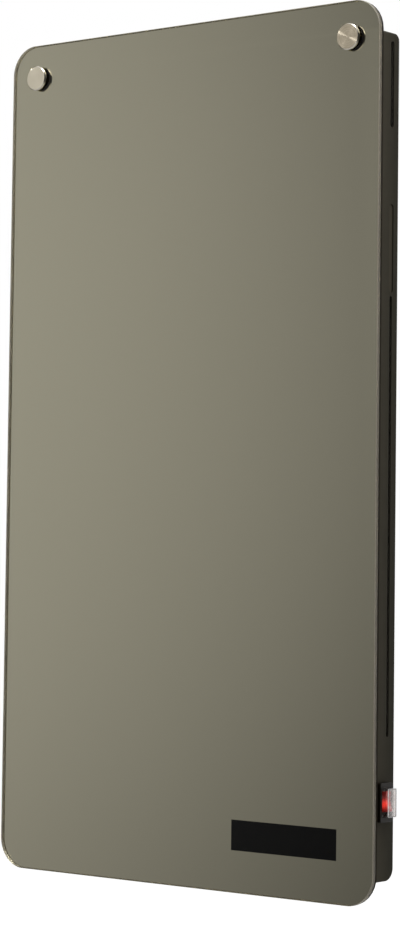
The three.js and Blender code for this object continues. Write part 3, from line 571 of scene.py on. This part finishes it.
LOOK = {
    "mirror_glass": float_glass(),
    "silver_coating": silver_coating(),
    "glass_edge": finish("glass_edge", (0.80, 0.68, 0.52), 0.5, mottle=(60, 0.1), grain=(500, 0.003),
                         Transmission_Weight=0.93),
    "glass_arris": finish("glass_arris", (0.24, 0.22, 0.17), 0.35, mottle=(60, 0.1), grain=(700, 0.01)),
    "glass_back": finish("glass_back", (0.035, 0.034, 0.032), 0.55, mottle=(25, 0.2), grain=(1400, 0.03)),
    "dark_window": finish("dark_window", (0.0022, 0.0020, 0.0012), 0.06, mottle=(40, 0.1), spread=0.02,
                          grain=(40, 0.001), Specular_IOR_Level=0.1),
    "black_paint": finish("black_paint", BLACK, 0.6, mottle=(45, 0.08), spread=0.05, grain=(1300, 0.035),
                          Specular_IOR_Level=0.05),
    "cheek_paint_and_painted_shade": cheek_paint_and_painted_shade(),
    "inner_primer": finish("inner_primer", (0.32, 0.30, 0.25), 0.7, mottle=(30, 0.12), grain=(900, 0.02),
                           Specular_IOR_Level=0.2),
    "right_cap_face": turned_steel("right_cap_face", (0.37, 0.32, 0.235), (0.58, 0.50, 0.37), 1.0, 0.26),
    "left_cap_face": turned_steel("left_cap_face", (0.38, 0.345, 0.265), (0.56, 0.505, 0.39), 0.35, 0.5),
    "brushed_cap": finish("brushed_cap", (0.56, 0.52, 0.45), 0.3, 1.0, grain=(900, 0.004)),
    "polished_steel": finish("polished_steel", (0.66, 0.62, 0.54), 0.14, 1.0, grain=(2500, 0.002)),
    "zinc_steel": finish("zinc_steel", ZINC, 0.36, 1.0, mottle=(140, 0.16), spread=0.1, grain=(800, 0.006)),
    "bare_aluminium": finish("bare_aluminium", (0.6, 0.61, 0.62), 0.34, 1.0, mottle=(20, 0.06),
                             grain=(300, 0.01), stretch=(1, 1, 14)),
    "black_plastic": finish("black_plastic", (0.009, 0.0068, 0.0042), 0.42, mottle=(90, 0.12),
                            grain=(2600, 0.02), Specular_IOR_Level=0.18),
    "black_rubber": finish("black_rubber", (0.014, 0.010, 0.006), 0.8, mottle=(120, 0.2), grain=(1500, 0.05),
                           Specular_IOR_Level=0.1),
    "nylon": finish("nylon", (0.70, 0.67, 0.60), 0.45, mottle=(80, 0.05), grain=(1200, 0.01)),
    "clear_cover": clear_cover("clear_cover", (0.95, 0.93, 0.91), 0.05, 0.96),
    "milky_cover": clear_cover("milky_cover", (0.96, 0.93, 0.92), 0.2, 0.93),
    "cover_rim": clear_cover("cover_rim", (0.95, 0.94, 0.93), 0.3, 0.45),
    "red_rocker": lit_red(),
    "lamp_glass": finish("lamp_glass", (0.9, 0.35, 0.15), 0.1, mottle=(200, 0.1), grain=(500, 0.002),
                         Transmission_Weight=0.6),
    "brass": finish("brass", (0.55, 0.36, 0.10), 0.3, 1.0, mottle=(200, 0.12), grain=(900, 0.006)),
    "circuit_board": circuit(),
    "relay_case": finish("relay_case", (0.02, 0.10, 0.32), 0.4, mottle=(150, 0.06), grain=(1500, 0.01)),
    "carbon_film": striped("carbon_film", (0.012, 0.010, 0.008), (0.05, 0.045, 0.04), 16.0, 0.5),
    "mineral_board": finish("mineral_board", (0.48, 0.36, 0.12), 0.95, mottle=(160, 0.3),
                            grain=(420, 0.4), stretch=(1, 1, 4)),
    "loom_sleeve": striped("loom_sleeve", (0.55, 0.53, 0.47), (0.75, 0.73, 0.67), 260.0, 0.6),
}


def dress_cad_nodes():
    """Gives every carried-over node the finish of its slot."""
    for part in frame["record"]["subparts"]:
        node = frame["nodes"][part["node"]]
        node.data.materials.clear()
        node.data.materials.append(LOOK[part["material_slot"]])


# Glass and what is in it

def glass_outline(inset):
    """The mirror's outline, shrunk by inset."""
    low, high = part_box("mirror_glass")
    return rounded(low.x, low.z, high.x, high.z, GLASS_CORNER, inset, 32)


def window_outline(grown):
    """The display's outline, grown on each side."""
    low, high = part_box("display_window")
    return rounded(low.x - grown, low.z - grown, high.x + grown, high.z + grown, 0.3 * MM, 0, 4)


def fixing_holes(depths):
    """The holes for the two caps, through the given depths."""
    holes = []
    for cap in ("left_cap", "right_cap"):
        centre = middle(cap)
        hole = circle(centre.x, centre.z, FIXING_HOLE)
        holes.append([(hole, depth) for depth in depths])
    return holes


def mirror_glass():
    """Clear glass with its coating on the back, bare at the display, and the paint behind the coating."""
    low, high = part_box("mirror_glass")
    coated, painted, arris = high.y - COATING_DEPTH, high.y - PAINT_DEPTH, GLASS_ARRIS
    clear, edge, coating, window, bevel = range(5)
    glass = Piece()
    rows = [(glass_outline(arris), low.y), (glass_outline(arris * 0.35), low.y + arris * 0.4),
            (glass_outline(0), low.y + arris), (glass_outline(0), coated - arris * 0.6),
            (glass_outline(arris * 0.6), coated)]
    loops = [glass.loop(outline, front, depth) for outline, depth in rows]
    for number, (first, second) in enumerate(zip(loops, loops[1:])):
        glass.wall(first, second, edge if number == 2 else bevel)
    bores = [[glass.loop(outline, front, depth) for outline, depth in hole]
             for hole in fixing_holes((low.y, coated))]
    for first, second in bores:
        glass.wall(first, second, edge)
    display = glass.loop(window_outline(0), front, coated)
    glass.cap([loops[0]] + [bore[0] for bore in bores], clear)
    glass.cap([loops[-1]] + [bore[1] for bore in bores] + [display], coating)
    glass.cap([display], window)
    glass.made("mirror", "mirror_glass",
               [LOOK["mirror_glass"], LOOK["glass_edge"], LOOK["silver_coating"], LOOK["dark_window"],
                LOOK["glass_arris"]],
               ["mirror_glass"])

    paint = Piece()
    outline = glass_outline(arris)
    opening = window_outline(0)
    paint.slab(front, [(outline, painted), (outline, high.y)],
               fixing_holes((painted, high.y)) + [[(opening, painted), (opening, high.y)]])
    paint.made("mirror_back_paint", "mirror_glass", LOOK["glass_back"])


def display_window():
    """The dark film that covers the bare glass in front of the display."""
    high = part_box("display_window")[1]
    film = Piece()
    outline = window_outline(-0.1 * MM)
    film.slab(front, [(outline, high.y - PAINT_DEPTH), (outline, high.y)])
    film.made("window_film", "dark_window", LOOK["dark_window"], ["display_window"])


def fixing_cap(node):
    """A turned cap with a chamfer round its face, and a hollow boss that goes through the glass."""
    low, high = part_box(node)
    centre = (low + high) / 2
    radius, end = (high.x - low.x) / 2, high.y - low.y
    chamfer, soft, bore, boss, wall = 1 * MM, 0.22 * MM, 3.3 * MM, 4.1 * MM, 1.2 * MM
    depth = end - 4.4 * MM
    face = radius - chamfer
    slope = soft * math.tan(math.radians(22.5))
    profile = [(NO_RADIUS, 0), (face - slope, 0), (face - slope * 0.2, slope * 0.25),
               (face + slope, slope * 1.2), (radius - slope, chamfer - slope),
               (radius - slope * 0.2, chamfer - slope * 0.2),
               (radius, chamfer + slope), (radius, depth - soft), (radius - soft * 0.3, depth - soft * 0.3),
               (radius - soft, depth), (boss, depth), (boss, end - soft), (boss - soft, end), (bore, end),
               (bore, wall), (NO_RADIUS, wall)]
    faced, polished, zinc = range(3)
    rim_walls = 9
    finishes = [faced] + [polished] * rim_walls + [zinc] * (len(profile) - rim_walls - 2)
    cap = Piece()
    cap.turned(profile, (centre.x, low.y, centre.z), 1, 128, finishes)
    cap.made(node + "_turned", "brushed_cap",
             [LOOK[node + "_face"], LOOK["polished_steel"], LOOK["zinc_steel"]], [node])


# Casing

def shell_outline(inset):
    """The casing's outline from the side, shrunk by inset."""
    low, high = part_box("rear_shell")
    return rounded(low.y, low.z, high.y, high.z, CASING_RADII, inset)


def cheek_slots():
    """The line that the slots lie on, and each slot's centre height, length and width."""
    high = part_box("rear_shell")[1]
    top = high.z
    return high.y - SLOT_SETBACK, [(top - 59 * MM, 98 * MM, 6.5 * MM), (top - 245 * MM, 100 * MM, 8 * MM),
                                   (top - 545 * MM, 492 * MM, 4.6 * MM)]


def cheek(node, sign):
    """A folded side with its slots. sign is 1 for the right one, with the switch, and -1 for the left one."""
    low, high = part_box(node)
    face = high.x if sign > 0 else low.x

    def at(depth):
        return face - sign * depth

    edge = 0.2 * MM
    levels = rounded_edge(shell_outline, at, CHEEK_FOLD)
    levels += [(shell_outline(0), at(CHEEK_FLANGE - edge)), (shell_outline(edge), at(CHEEK_FLANGE)),
               (shell_outline(SHEET), at(CHEEK_FLANGE))]
    levels += reversed(rounded_edge(shell_outline, at, CHEEK_FOLD - SHEET, SHEET))
    line, slots = cheek_slots()
    arris = ((SLOT_ARRIS, 0), (SLOT_ARRIS * 0.3, SLOT_ARRIS * 0.3), (0, SLOT_ARRIS), (0, SHEET))
    holes = [[(slot_outline(line, *slot, grown, 10), at(depth)) for grown, depth in arris] for slot in slots]
    if sign > 0:
        body_low, body_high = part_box("switch_body")
        centre, half, lip = middle("switch_body").z, 13.7 * MM, 0.7 * MM
        seat = rounded(body_low.y + lip, centre - half, body_high.y - lip, centre + half, 0.5 * MM, 0, 4)
        holes.append([(seat, at(0)), (seat, at(SHEET))])
    piece = Piece()
    piece.slab(side, levels, holes)
    piece.made(node + "_folded", "black_paint", LOOK["cheek_paint_and_painted_shade"], [node])


def evenly(low, high, steps):
    """Numbers from low to high in even steps."""
    return [low + (high - low) * n / steps for n in range(steps + 1)]


def rear_shell():
    """The folded sheet with its two pressed beads, the hook slots and the holes."""
    low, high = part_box("rear_shell")
    bracket_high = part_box("wall_bracket")[1]
    half = SHEET / 2
    corners = rounded(low.y, low.z, high.y, high.z, CASING_RADII, half, 12)
    top_return, bottom_return = 24 * MM, 18 * MM
    slot_top = bracket_high.z - HOOK_RISE + GAP
    bead_low, bead_high = low.z + BEAD_END, slot_top - BEAD_END

    # The section runs from the lower return round the back to the upper return
    rear_start = len(corners) // 2
    back = high.y - half
    margin = 2 * MM
    zs = []
    for z in (bead_low + BEAD_HALF, bead_high - BEAD_HALF):
        zs += evenly(z - BEAD_HALF - margin, z + BEAD_HALF, 14)
    rear = [(back, z) for z in sorted(zs)]
    section = ([(low.y + half, low.z + bottom_return)] + corners[:rear_start] + rear + corners[rear_start:]
               + [(low.y + half, high.z - top_return)])

    xs = [low.x]
    for x in (-HOOK_X, HOOK_X):
        xs += evenly(x - BEAD_HALF - margin, x + BEAD_HALF + margin, 26)
    xs = sorted(xs + [0.0, high.x])

    def pressed(x, z):
        """How far the wall is pressed in: a flat bottom with smooth edges and round ends."""
        near = min(max(z, bead_low + BEAD_HALF), bead_high - BEAD_HALF)
        away = min(math.hypot(x - c, z - near) for c in (-HOOK_X, HOOK_X))
        t = min(max((BEAD_HALF - away) / BEAD_EDGE, 0), 1)
        return BEAD_DEPTH * t * t * (3 - 2 * t)

    piece = Piece()
    rows = []
    for y, z in section:
        flat = abs(y - back) < 0.01 * MM
        rows.append([piece.bm.verts.new((x, y - (pressed(x, z) if flat else 0), z)) for x in xs])
    for first, second in zip(rows, rows[1:]):
        for n in range(len(xs) - 1):
            piece.bm.faces.new((first[n], first[n + 1], second[n + 1], second[n]))
    bmesh.ops.remove_doubles(piece.bm, verts=piece.bm.verts, dist=SAME_PLACE)
    name = "rear_shell_pressed"
    shell = placed(mesh_from(piece.bm, name), name,
                   [LOOK["black_paint"], LOOK["inner_primer"]], ["rear_shell"])
    thick = shell.modifiers.new("thick", "SOLIDIFY")
    thick.thickness = SHEET
    thick.offset = 0
    thick.use_even_offset = True
    apply_first(shell, thick)

    centre = (low + high) / 2
    for face in shell.data.polygons:
        inward = Vector((0, *(centre - face.center)[1:])).dot(face.normal)
        face.material_index = 1 if inward > 0 else 0
    combine(shell, "DIFFERENCE", shell_cutters(low, high, slot_top))


def shell_cutters(low, high, slot_top):
    """The hook slots and the inlet of the rear shell, and the stud and screw holes in its returns."""
    slot_half, slot_height = HOOK_HALF + 3 * MM, 16.1 * MM
    cutters = []
    for x in (-HOOK_X, HOOK_X):
        outline = rounded(x - slot_half, slot_top - slot_height, x + slot_half, slot_top, 1.2 * MM, 0, 6)
        cutters.append(bar(front, outline, high.y - 6 * MM, high.y + 4 * MM))
    inlet = middle("gland_body")
    cutters.append(bar(level, circle(inlet.x, inlet.y, GLAND_HOLE), low.z - 3 * MM, low.z + 4 * MM))
    studs = ("left_stud", "right_stud", "left_bonded_stud", "right_bonded_stud")
    screws = [f"frame_screw_{n}" for n in (1, 2, 3, 4)]
    for node in (*studs, *screws):
        centre = middle(node)
        outline = circle(centre.x, centre.z, STUD_HOLE if node in studs else SCREW_HOLE, 24)
        cutters.append(bar(front, outline, low.y - 3 * MM, low.y + 5 * MM))
    return cutters


# Wall bracket and pads

def wall_bracket():
    """A flat plate with four screw slots, and two hooks bent up and forward from its upper edge."""
    low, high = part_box("wall_bracket")
    sheet, soft = BRACKET_SHEET, 0.3 * MM
    plate_top = high.z - HOOK_RISE
    outline = [rounded(low.x, low.z, high.x, plate_top, 5 * MM, inset, 10) for inset in (soft, 0, 0, soft)]
    depths = (-sheet, -sheet + soft, -soft, 0)
    holes = []
    for x in (-165 * MM, -60 * MM, 60 * MM, 165 * MM):
        slots = [slot_outline(x, 0, 14 * MM, 7 * MM, grown, 12) for grown in (soft, 0, 0, soft)]
        holes.append(list(zip(slots, depths)))
    bracket = Piece()
    bracket.slab(front, list(zip(outline, depths)), holes)
    made = bracket.made("bracket_plate", "zinc_steel", LOOK["zinc_steel"], ["wall_bracket"], "bracket")
    bend, root = 1.5 * MM, -sheet / 2
    turn_y, turn_z = low.y + sheet + bend, plate_top + bend
    hook = [(root, plate_top - sheet), (root, plate_top), *arc(turn_y, turn_z, bend, 270, 180, 8),
            (low.y + sheet, high.z - soft), (low.y + sheet - soft, high.z), (low.y + soft, high.z),
            (low.y, high.z - soft), *arc(turn_y, turn_z, bend + sheet, 180, 270, 8)]
    combine(made, "UNION", [bar(side, hook, x - HOOK_HALF, x + HOOK_HALF) for x in (-HOOK_X, HOOK_X)])


def wall_pad(node):
    """A rubber disc with soft edges and a bore."""
    low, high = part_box(node)
    radius, depth = (high.x - low.x) / 2, high.y - low.y
    soft, bore = 0.8 * MM, 3 * MM
    centre = (low + high) / 2
    profile = [(bore, 0), *arc(radius - soft, soft, soft, -90, 0),
               *arc(radius - soft, depth - soft, soft, 0, 90), (bore, depth), (bore, 0)]
    pad = Piece()
    pad.turned(profile, (centre.x, low.y, centre.z), 1, 64)
    pad.made(node + "_turned", "black_rubber", LOOK["black_rubber"], [node])


# Cord gland

def gland_body():
    """A six-sided flange with a tube through the casing above it and one for the nut below it."""
    low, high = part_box("gland_body")
    centre = (low + high) / 2
    flange, thick, soft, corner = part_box("gland_dome")[1].z + GAP, 5 * MM, 0.5 * MM, 11.5 * MM
    rows = [(rounded_hexagon(centre, corner - inset), z)
            for inset, z in ((soft, flange), (0, flange + soft), (0, flange + thick - soft),
                             (soft, flange + thick))]
    hole = circle(centre.x, centre.y, GLAND_BORE)
    body = Piece()
    body.slab(level, rows, [[(hole, flange), (hole, flange + thick)]])
    made = body.made("gland_flange", "black_plastic", LOOK["black_plastic"], ["gland_body"])

    def tube(radius, bottom, top):
        edge = 0.3 * MM
        profile = [(GLAND_BORE, bottom), (radius - edge, bottom), (radius, bottom + edge),
                   (radius, top - edge), (radius - edge, top), (GLAND_BORE, top), (GLAND_BORE, bottom)]
        return tool(lambda filled: filled.turned(profile, (centre.x, centre.y, 0), 2, 48))

    half_way = flange + thick / 2
    combine(made, "UNION", [tube(8 * MM, half_way, high.z), tube(6.8 * MM, low.z, half_way)])


def gland_nut():
    """The domed nut with grip ribs on its side."""
    low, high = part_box("gland_dome")
    centre, tall = (low + high) / 2, high.z - low.z
    radius, mouth, thread, dome, edge = 11.4 * MM, 4.6 * MM, 7.1 * MM, 3.2 * MM, 0.5 * MM
    profile = [(mouth, 0), (radius - 4 * MM, 0), *arc(radius - dome, dome, dome, -80, 0, 6),
               (radius, tall - edge), (radius - edge, tall), (thread, tall), (thread, 3.4 * MM),
               (mouth, 3.1 * MM), (mouth, 0)]

    def ribs(angle, along):
        """The share of the radius at one place. The ribs fade towards the dome."""
        grip = min(max((along - 3 * MM) / (2 * MM), 0), 1)
        return 1 - 0.035 * grip * (0.5 - 0.5 * math.cos(12 * angle)) ** 2

    nut = Piece()
    nut.turned(profile, (centre.x, centre.y, low.z), 2, 144, ribs=ribs)
    nut.made("gland_nut_ribbed", "black_plastic", LOOK["black_plastic"], ["gland_dome"])


def rounded_hexagon(centre, radius):
    """A hexagon whose six corners are cut back by a small arc."""
    points = []
    soft = 1.0 * MM
    inner = radius - soft / math.cos(math.pi / 6)
    for n in range(6):
        angle = math.pi / 3 * n
        for step in range(5):
            turn = angle + math.radians(-30 + 60 * step / 4)
            points.append((centre.x + inner * math.cos(angle) + soft * math.cos(turn),
                           centre.y + inner * math.sin(angle) + soft * math.sin(turn)))
    return points


# Switch

def switch_bezel():
    """The frame round the switch, with an opening for the cover's hood and a rebate for its foot."""
    low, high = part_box("switch_bezel")
    cover_low, cover_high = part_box("splash_cover")
    soft, lip, rebate_depth, back_edge = 0.6 * MM, 0.5 * MM, 2.1 * MM, 0.15 * MM

    def outline(inset):
        return rounded(low.y, low.z, high.y, high.z, 2.5 * MM, inset, 10)

    def opening(grown):
        inset = COVER_FOOT - GAP - grown
        return rounded(cover_low.y + inset, cover_low.z + inset, cover_high.y - inset, cover_high.z - inset,
                       2.1 * MM + grown, 0, 10)

    rebate = rounded(cover_low.y - GAP, cover_low.z - GAP, cover_high.y + GAP, cover_high.z + GAP,
                     1.2 * MM, 0, 10)
    rim = rounded_edge(outline, lambda depth: high.x - depth, soft)
    rim += [(outline(0), low.x + back_edge), (outline(back_edge), low.x)]
    hole = [(opening(lip), high.x), (opening(lip * 0.3), high.x - lip * 0.3), (opening(0), high.x - lip),
            (opening(0), low.x + rebate_depth), (rebate, low.x + rebate_depth), (rebate, low.x)]
    bezel = Piece()
    bezel.slab(side, rim, [hole])
    bezel.made("switch_surround", "black_plastic", LOOK["black_plastic"], ["switch_bezel"])


def splash_cover():
    """A clear hood with a slightly milky outer face, and a frosted edge but for its far side."""
    low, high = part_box("splash_cover")
    wall, soft, inner_soft, corner = 1.0 * MM, 0.45 * MM, 0.4 * MM, 1.6 * MM
    foot_top = low.x + 1.2 * MM
    foot = rounded(low.y, low.z, high.y, high.z, 0.9 * MM, 0, 12)

    def outline(inset):
        return rounded(low.y + COVER_FOOT, low.z + COVER_FOOT, high.y - COVER_FOOT, high.z - COVER_FOOT,
                       corner, inset, 12)

    def under_face(depth):
        return high.x - depth

    rim_steps = 6
    clear, milky, frosted = range(3)
    rows = rounded_edge(outline, under_face, soft, steps=rim_steps)
    rows += [(outline(0), foot_top), (foot, foot_top), (foot, low.x), (outline(wall), low.x)]
    rows += reversed(rounded_edge(outline, under_face, inner_soft, wall))
    cover = Piece()
    loops = [cover.loop(points, side, depth) for points, depth in rows]
    for number, (first, second) in enumerate(zip(loops, loops[1:])):
        cover.wall(first, second, frosted if number < rim_steps else clear)
    cover.cap([loops[0]], milky)
    cover.cap([loops[-1]], milky)
    far_side = high.y - COVER_FOOT - 2 * soft
    for face in cover.bm.faces:
        if face.material_index == frosted and face.calc_center_median().y > far_side:
            face.material_index = clear
    cover.made("splash_cover_moulded", "clear_cover",
               [LOOK["clear_cover"], LOOK["milky_cover"], LOOK["cover_rim"]], ["splash_cover"])


def rocker():
    """Two slopes that meet in a valley, on a keel with its pivot pins, drawn level and then tilted."""
    crest, valley, skirt, keel = 10.6 * MM, 8 * MM, -1 * MM, -5 * MM
    reach, base, keel_half = 11.2 * MM, 11.3 * MM, 4 * MM
    wide, steps = 8.4 * MM, 12
    slopes = [(valley + (crest - valley) * (abs(n) / steps) ** HOLLOW, reach * n / steps)
              for n in range(-steps, steps + 1)]
    outline = [(keel, -keel_half), (skirt, -base), *slopes, (skirt, base), (keel, keel_half)]
    level_at = PIVOT + Vector((2.5 * MM, 0, 0))

    def plane(u, v, w):
        return Vector((level_at.x + u, level_at.y + w, level_at.z + v))

    body = Piece()
    body.slab(plane, [(outline, -wide / 2), (outline, wide / 2)])
    bm = body.bm
    bmesh.ops.recalc_face_normals(bm, faces=bm.faces)
    edges = [e for e in bm.edges if e.calc_face_angle(0) > math.radians(40)]
    bmesh.ops.bevel(bm, geom=edges, offset=0.5 * MM, segments=4, profile=0.5, affect="EDGES")
    half_tilt = Matrix.Rotation(math.radians(-ROCKER["range_deg"][1] / 2), 4, "Y")
    tilt = Matrix.Translation(PIVOT) @ half_tilt @ Matrix.Translation(-PIVOT)
    bm.transform(tilt)
    body.made("rocker_moulded", "red_rocker", LOOK["red_rocker"], ["rocker"], "rocker")
    end, radius, soft = 5.1 * MM, 1.5 * MM, 0.2 * MM
    pin = Piece()
    pin.turned([(NO_RADIUS, -end), (radius - soft, -end), (radius, soft - end), (radius, end - soft),
                (radius - soft, end), (NO_RADIUS, end)], PIVOT, 1, 24)
    pin.made("rocker_pivot", "red_rocker", LOOK["red_rocker"], [], "rocker")
    for name, sign in (("rocker_mark_on", 1), ("rocker_mark_off", -1)):
        rocker_mark(name, sign, plane, tilt, crest, valley, reach)


def rocker_mark(name, sign, plane, tilt, crest, valley, reach):
    """The white line and ring of the on and off ends, let into the slopes."""
    share = 0.62
    z = sign * reach * share
    surface = valley + (crest - valley) * share ** HOLLOW
    slope = math.atan2((crest - valley) * HOLLOW * share ** (HOLLOW - 1), reach) * sign
    thick = 0.12 * MM
    mark = Piece()

    def tilted(u, v, w):
        """u across the rocker, v along the slope, w outwards from it."""
        out = surface + w * math.cos(slope) + v * math.sin(slope)
        up = z + v * math.cos(slope) - w * math.sin(slope)
        return plane(out, up, u)

    if sign > 0:
        line = rounded(-0.3 * MM, -2 * MM, 0.3 * MM, 2 * MM, 0.25 * MM, 0, 4)
        mark.slab(tilted, [(line, thick / 2), (line, -thick)])
    else:
        outer, inner = circle(0, 0, 1.8 * MM, 40), circle(0, 0, 1.3 * MM, 40)
        mark.slab(tilted, [(outer, thick / 2), (outer, -thick)], [[(inner, thick / 2), (inner, -thick)]])
    mark.bm.transform(tilt)
    mark.made(name, "nylon", LOOK["nylon"], [], "rocker")


# Stage

def direction(azimuth, elevation):
    """From the heater outwards. Azimuth 0 is in front of it, and a positive one to its right."""
    return Vector((math.sin(azimuth) * math.cos(elevation), -math.cos(azimuth) * math.cos(elevation),
                   math.sin(elevation)))


def camera():
    """The photograph's camera."""
    data = bpy.data.cameras.new("camera")
    eye = bpy.data.objects.new("camera", data)
    bpy.context.scene.collection.objects.link(eye)
    back = direction(CAMERA_YAW, CAMERA_PITCH)
    turn = back.to_track_quat("Z", "Y").to_matrix() @ Matrix.Rotation(CAMERA_ROLL, 3, "Z")
    eye.matrix_world = Matrix.Translation(CAMERA_AT) @ turn.to_4x4()
    data.sensor_fit = "AUTO"
    data.sensor_width = 36
    data.lens = FOCAL_PX * data.sensor_width / FRAME_HEIGHT_PX
    data.shift_y = (CENTRE_ROW_PX - FRAME_HEIGHT_PX / 2) / FRAME_HEIGHT_PX
    data.clip_start, data.clip_end = 0.05, 100
    bpy.context.scene.camera = eye


def lamp(name, azimuth, elevation, distance, size, watts, aim=(0, -0.05, -0.33)):
    """A soft round lamp that faces the heater, placed by its direction from aim in degrees."""
    data = bpy.data.lights.new(name, "AREA")
    data.shape = "DISK"
    data.size = size
    data.energy = watts
    light = bpy.data.objects.new(name, data)
    away = direction(math.radians(azimuth), math.radians(elevation))
    light.location = Vector(aim) + away * distance
    light.rotation_euler = away.to_track_quat("Z", "Y").to_euler()
    bpy.context.scene.collection.objects.link(light)
    light.visible_camera = False


def world():
    """White to the camera, and white behind and above the heater. In front of it the studio is dimmer."""
    scene_world = bpy.data.worlds.new("studio")
    bpy.context.scene.world = scene_world
    scene_world.use_nodes = True
    tree = scene_world.node_tree
    tree.nodes.clear()
    place = add(tree, "TexCoord")
    apart = add(tree, "SeparateXYZ")
    tree.links.new(place.outputs["Generated"], apart.inputs["Vector"])

    def math_of(operation, a, b):
        node = add(tree, "Math", operation=operation)
        tree.links.new(a, node.inputs[0])
        tree.links.new(b, node.inputs[1])
        return node.outputs[0]

    def pool(azimuth, elevation, edge, core, level, around=ROOM_LEVEL):
        """A soft patch round one direction. edge and core are the cosines where it starts and is full."""
        towards = direction(math.radians(azimuth), math.radians(elevation))
        dot = add(tree, "VectorMath", operation="DOT_PRODUCT", inputs={1: tuple(towards)})
        tree.links.new(place.outputs["Generated"], dot.inputs[0])
        return ranged(tree, dot.outputs["Value"], around, level, edge, core, "SMOOTHSTEP")

    def wall(side_of, level, start, end):
        """A wall that fades in along one axis."""
        return ranged(tree, side_of, ROOM_LEVEL, level, start, end, "SMOOTHSTEP")

    # The pool that the mirror shows, the dim part round the camera, and a bright patch for the caps
    light = pool(-55.25, 5.43, 0.881, 1.021, POOL_LEVEL)
    light = math_of("MINIMUM", light, pool(42, 8, 0.80, 0.97, 0.015, 2.0))
    light = math_of("MAXIMUM", light, pool(12, 36, 0.92, 0.96, 1.3))
    # The wall behind the heater, the ceiling and the floor
    light = math_of("MAXIMUM", light, wall(apart.outputs["Y"], 1.0, -0.15, 0.45))
    light = math_of("MAXIMUM", light, wall(apart.outputs["Z"], 1.0, 0.5, 0.85))
    down = add(tree, "Math", operation="MULTIPLY", inputs={1: -1.0})
    tree.links.new(apart.outputs["Z"], down.inputs[0])
    light = math_of("MAXIMUM", light, wall(down.outputs[0], 0.6, 0.25, 0.7))

    # Mirrors and glass show the studio, dull surfaces are lit evenly, and the camera sees white.
    # A Mix node's two numbers are its inputs 2 and 3.
    ray = add(tree, "LightPath")
    mirrored = math_of("MAXIMUM", ray.outputs["Is Glossy Ray"], ray.outputs["Is Transmission Ray"])
    studio = add(tree, "Mix", data_type="FLOAT")
    tree.links.new(mirrored, studio.inputs["Factor"])
    studio.inputs[2].default_value = FILL_LEVEL
    tree.links.new(light, studio.inputs[3])
    strength = add(tree, "Mix", data_type="FLOAT")
    tree.links.new(ray.outputs["Is Camera Ray"], strength.inputs["Factor"])
    tree.links.new(studio.outputs[0], strength.inputs[2])
    strength.inputs[3].default_value = 1.0
    background = add(tree, "Background", inputs={"Color": (1, 1, 1, 1)})
    tree.links.new(strength.outputs[0], background.inputs["Strength"])
    output = add(tree, "OutputWorld")
    tree.links.new(background.outputs[0], output.inputs["Surface"])


def floor():
    """White to the camera, but for the heater's shadow."""
    low = CAD_BOX[0].z - FLOOR_DROP
    mesh = bpy.data.meshes.new("floor")
    rim = circle(0, 0, FLOOR_RADIUS, 96)
    mesh.from_pydata([(u, v, low) for u, v in rim], [], [tuple(range(len(rim)))])
    plane = bpy.data.objects.new("floor", mesh)
    bpy.context.scene.collection.objects.link(plane)
    material, tree, shader = nodes_of("floor")
    tree.links.new(between(tree, noise(tree, 2, 3), (0.84, 0.84, 0.84), (0.88, 0.88, 0.88)),
                   shader.inputs["Base Color"])
    shader.inputs["Roughness"].default_value = 0.9
    shader.inputs["Specular IOR Level"].default_value = 0.1
    ray = add(tree, "LightPath")
    shader.inputs["Emission Color"].default_value = (1, 1, 1, 1)
    away = add(tree, "VectorMath", operation="DISTANCE", inputs={1: (0, 0, low)})
    tree.links.new(coordinates(tree), away.inputs[0])
    glow = ranged(tree, away.outputs["Value"], 0.40, 0.62, 1.0, 2.8, "SMOOTHSTEP")
    lift = add(tree, "Math", operation="MULTIPLY")
    tree.links.new(glow, lift.inputs[0])
    tree.links.new(ray.outputs["Is Camera Ray"], lift.inputs[1])
    tree.links.new(lift.outputs[0], shader.inputs["Emission Strength"])
    mesh.materials.append(material)
    plane.visible_glossy = False
    plane.visible_transmission = False


camera()
world()
floor()
lamp("key", azimuth=-59.4, elevation=27.2, distance=3.25, size=0.25, watts=22)
lamp("overhead", azimuth=10, elevation=68, distance=2.6, size=1.2, watts=40)
lamp("fill", azimuth=80, elevation=46, distance=1.55, size=0.8, watts=15, aim=(0.25, -0.05, 0.05))
bpy.context.scene.view_settings.view_transform = "Standard"

dress_cad_nodes()
mirror_glass()
display_window()
for cap_node in ("left_cap", "right_cap"):
    fixing_cap(cap_node)
rear_shell()
cheek("left_cheek", -1)
cheek("right_cheek", 1)
wall_bracket()
for pad_node in ("left_wall_pad", "right_wall_pad"):
    wall_pad(pad_node)
gland_body()
gland_nut()
switch_bezel()
splash_cover()
rocker()
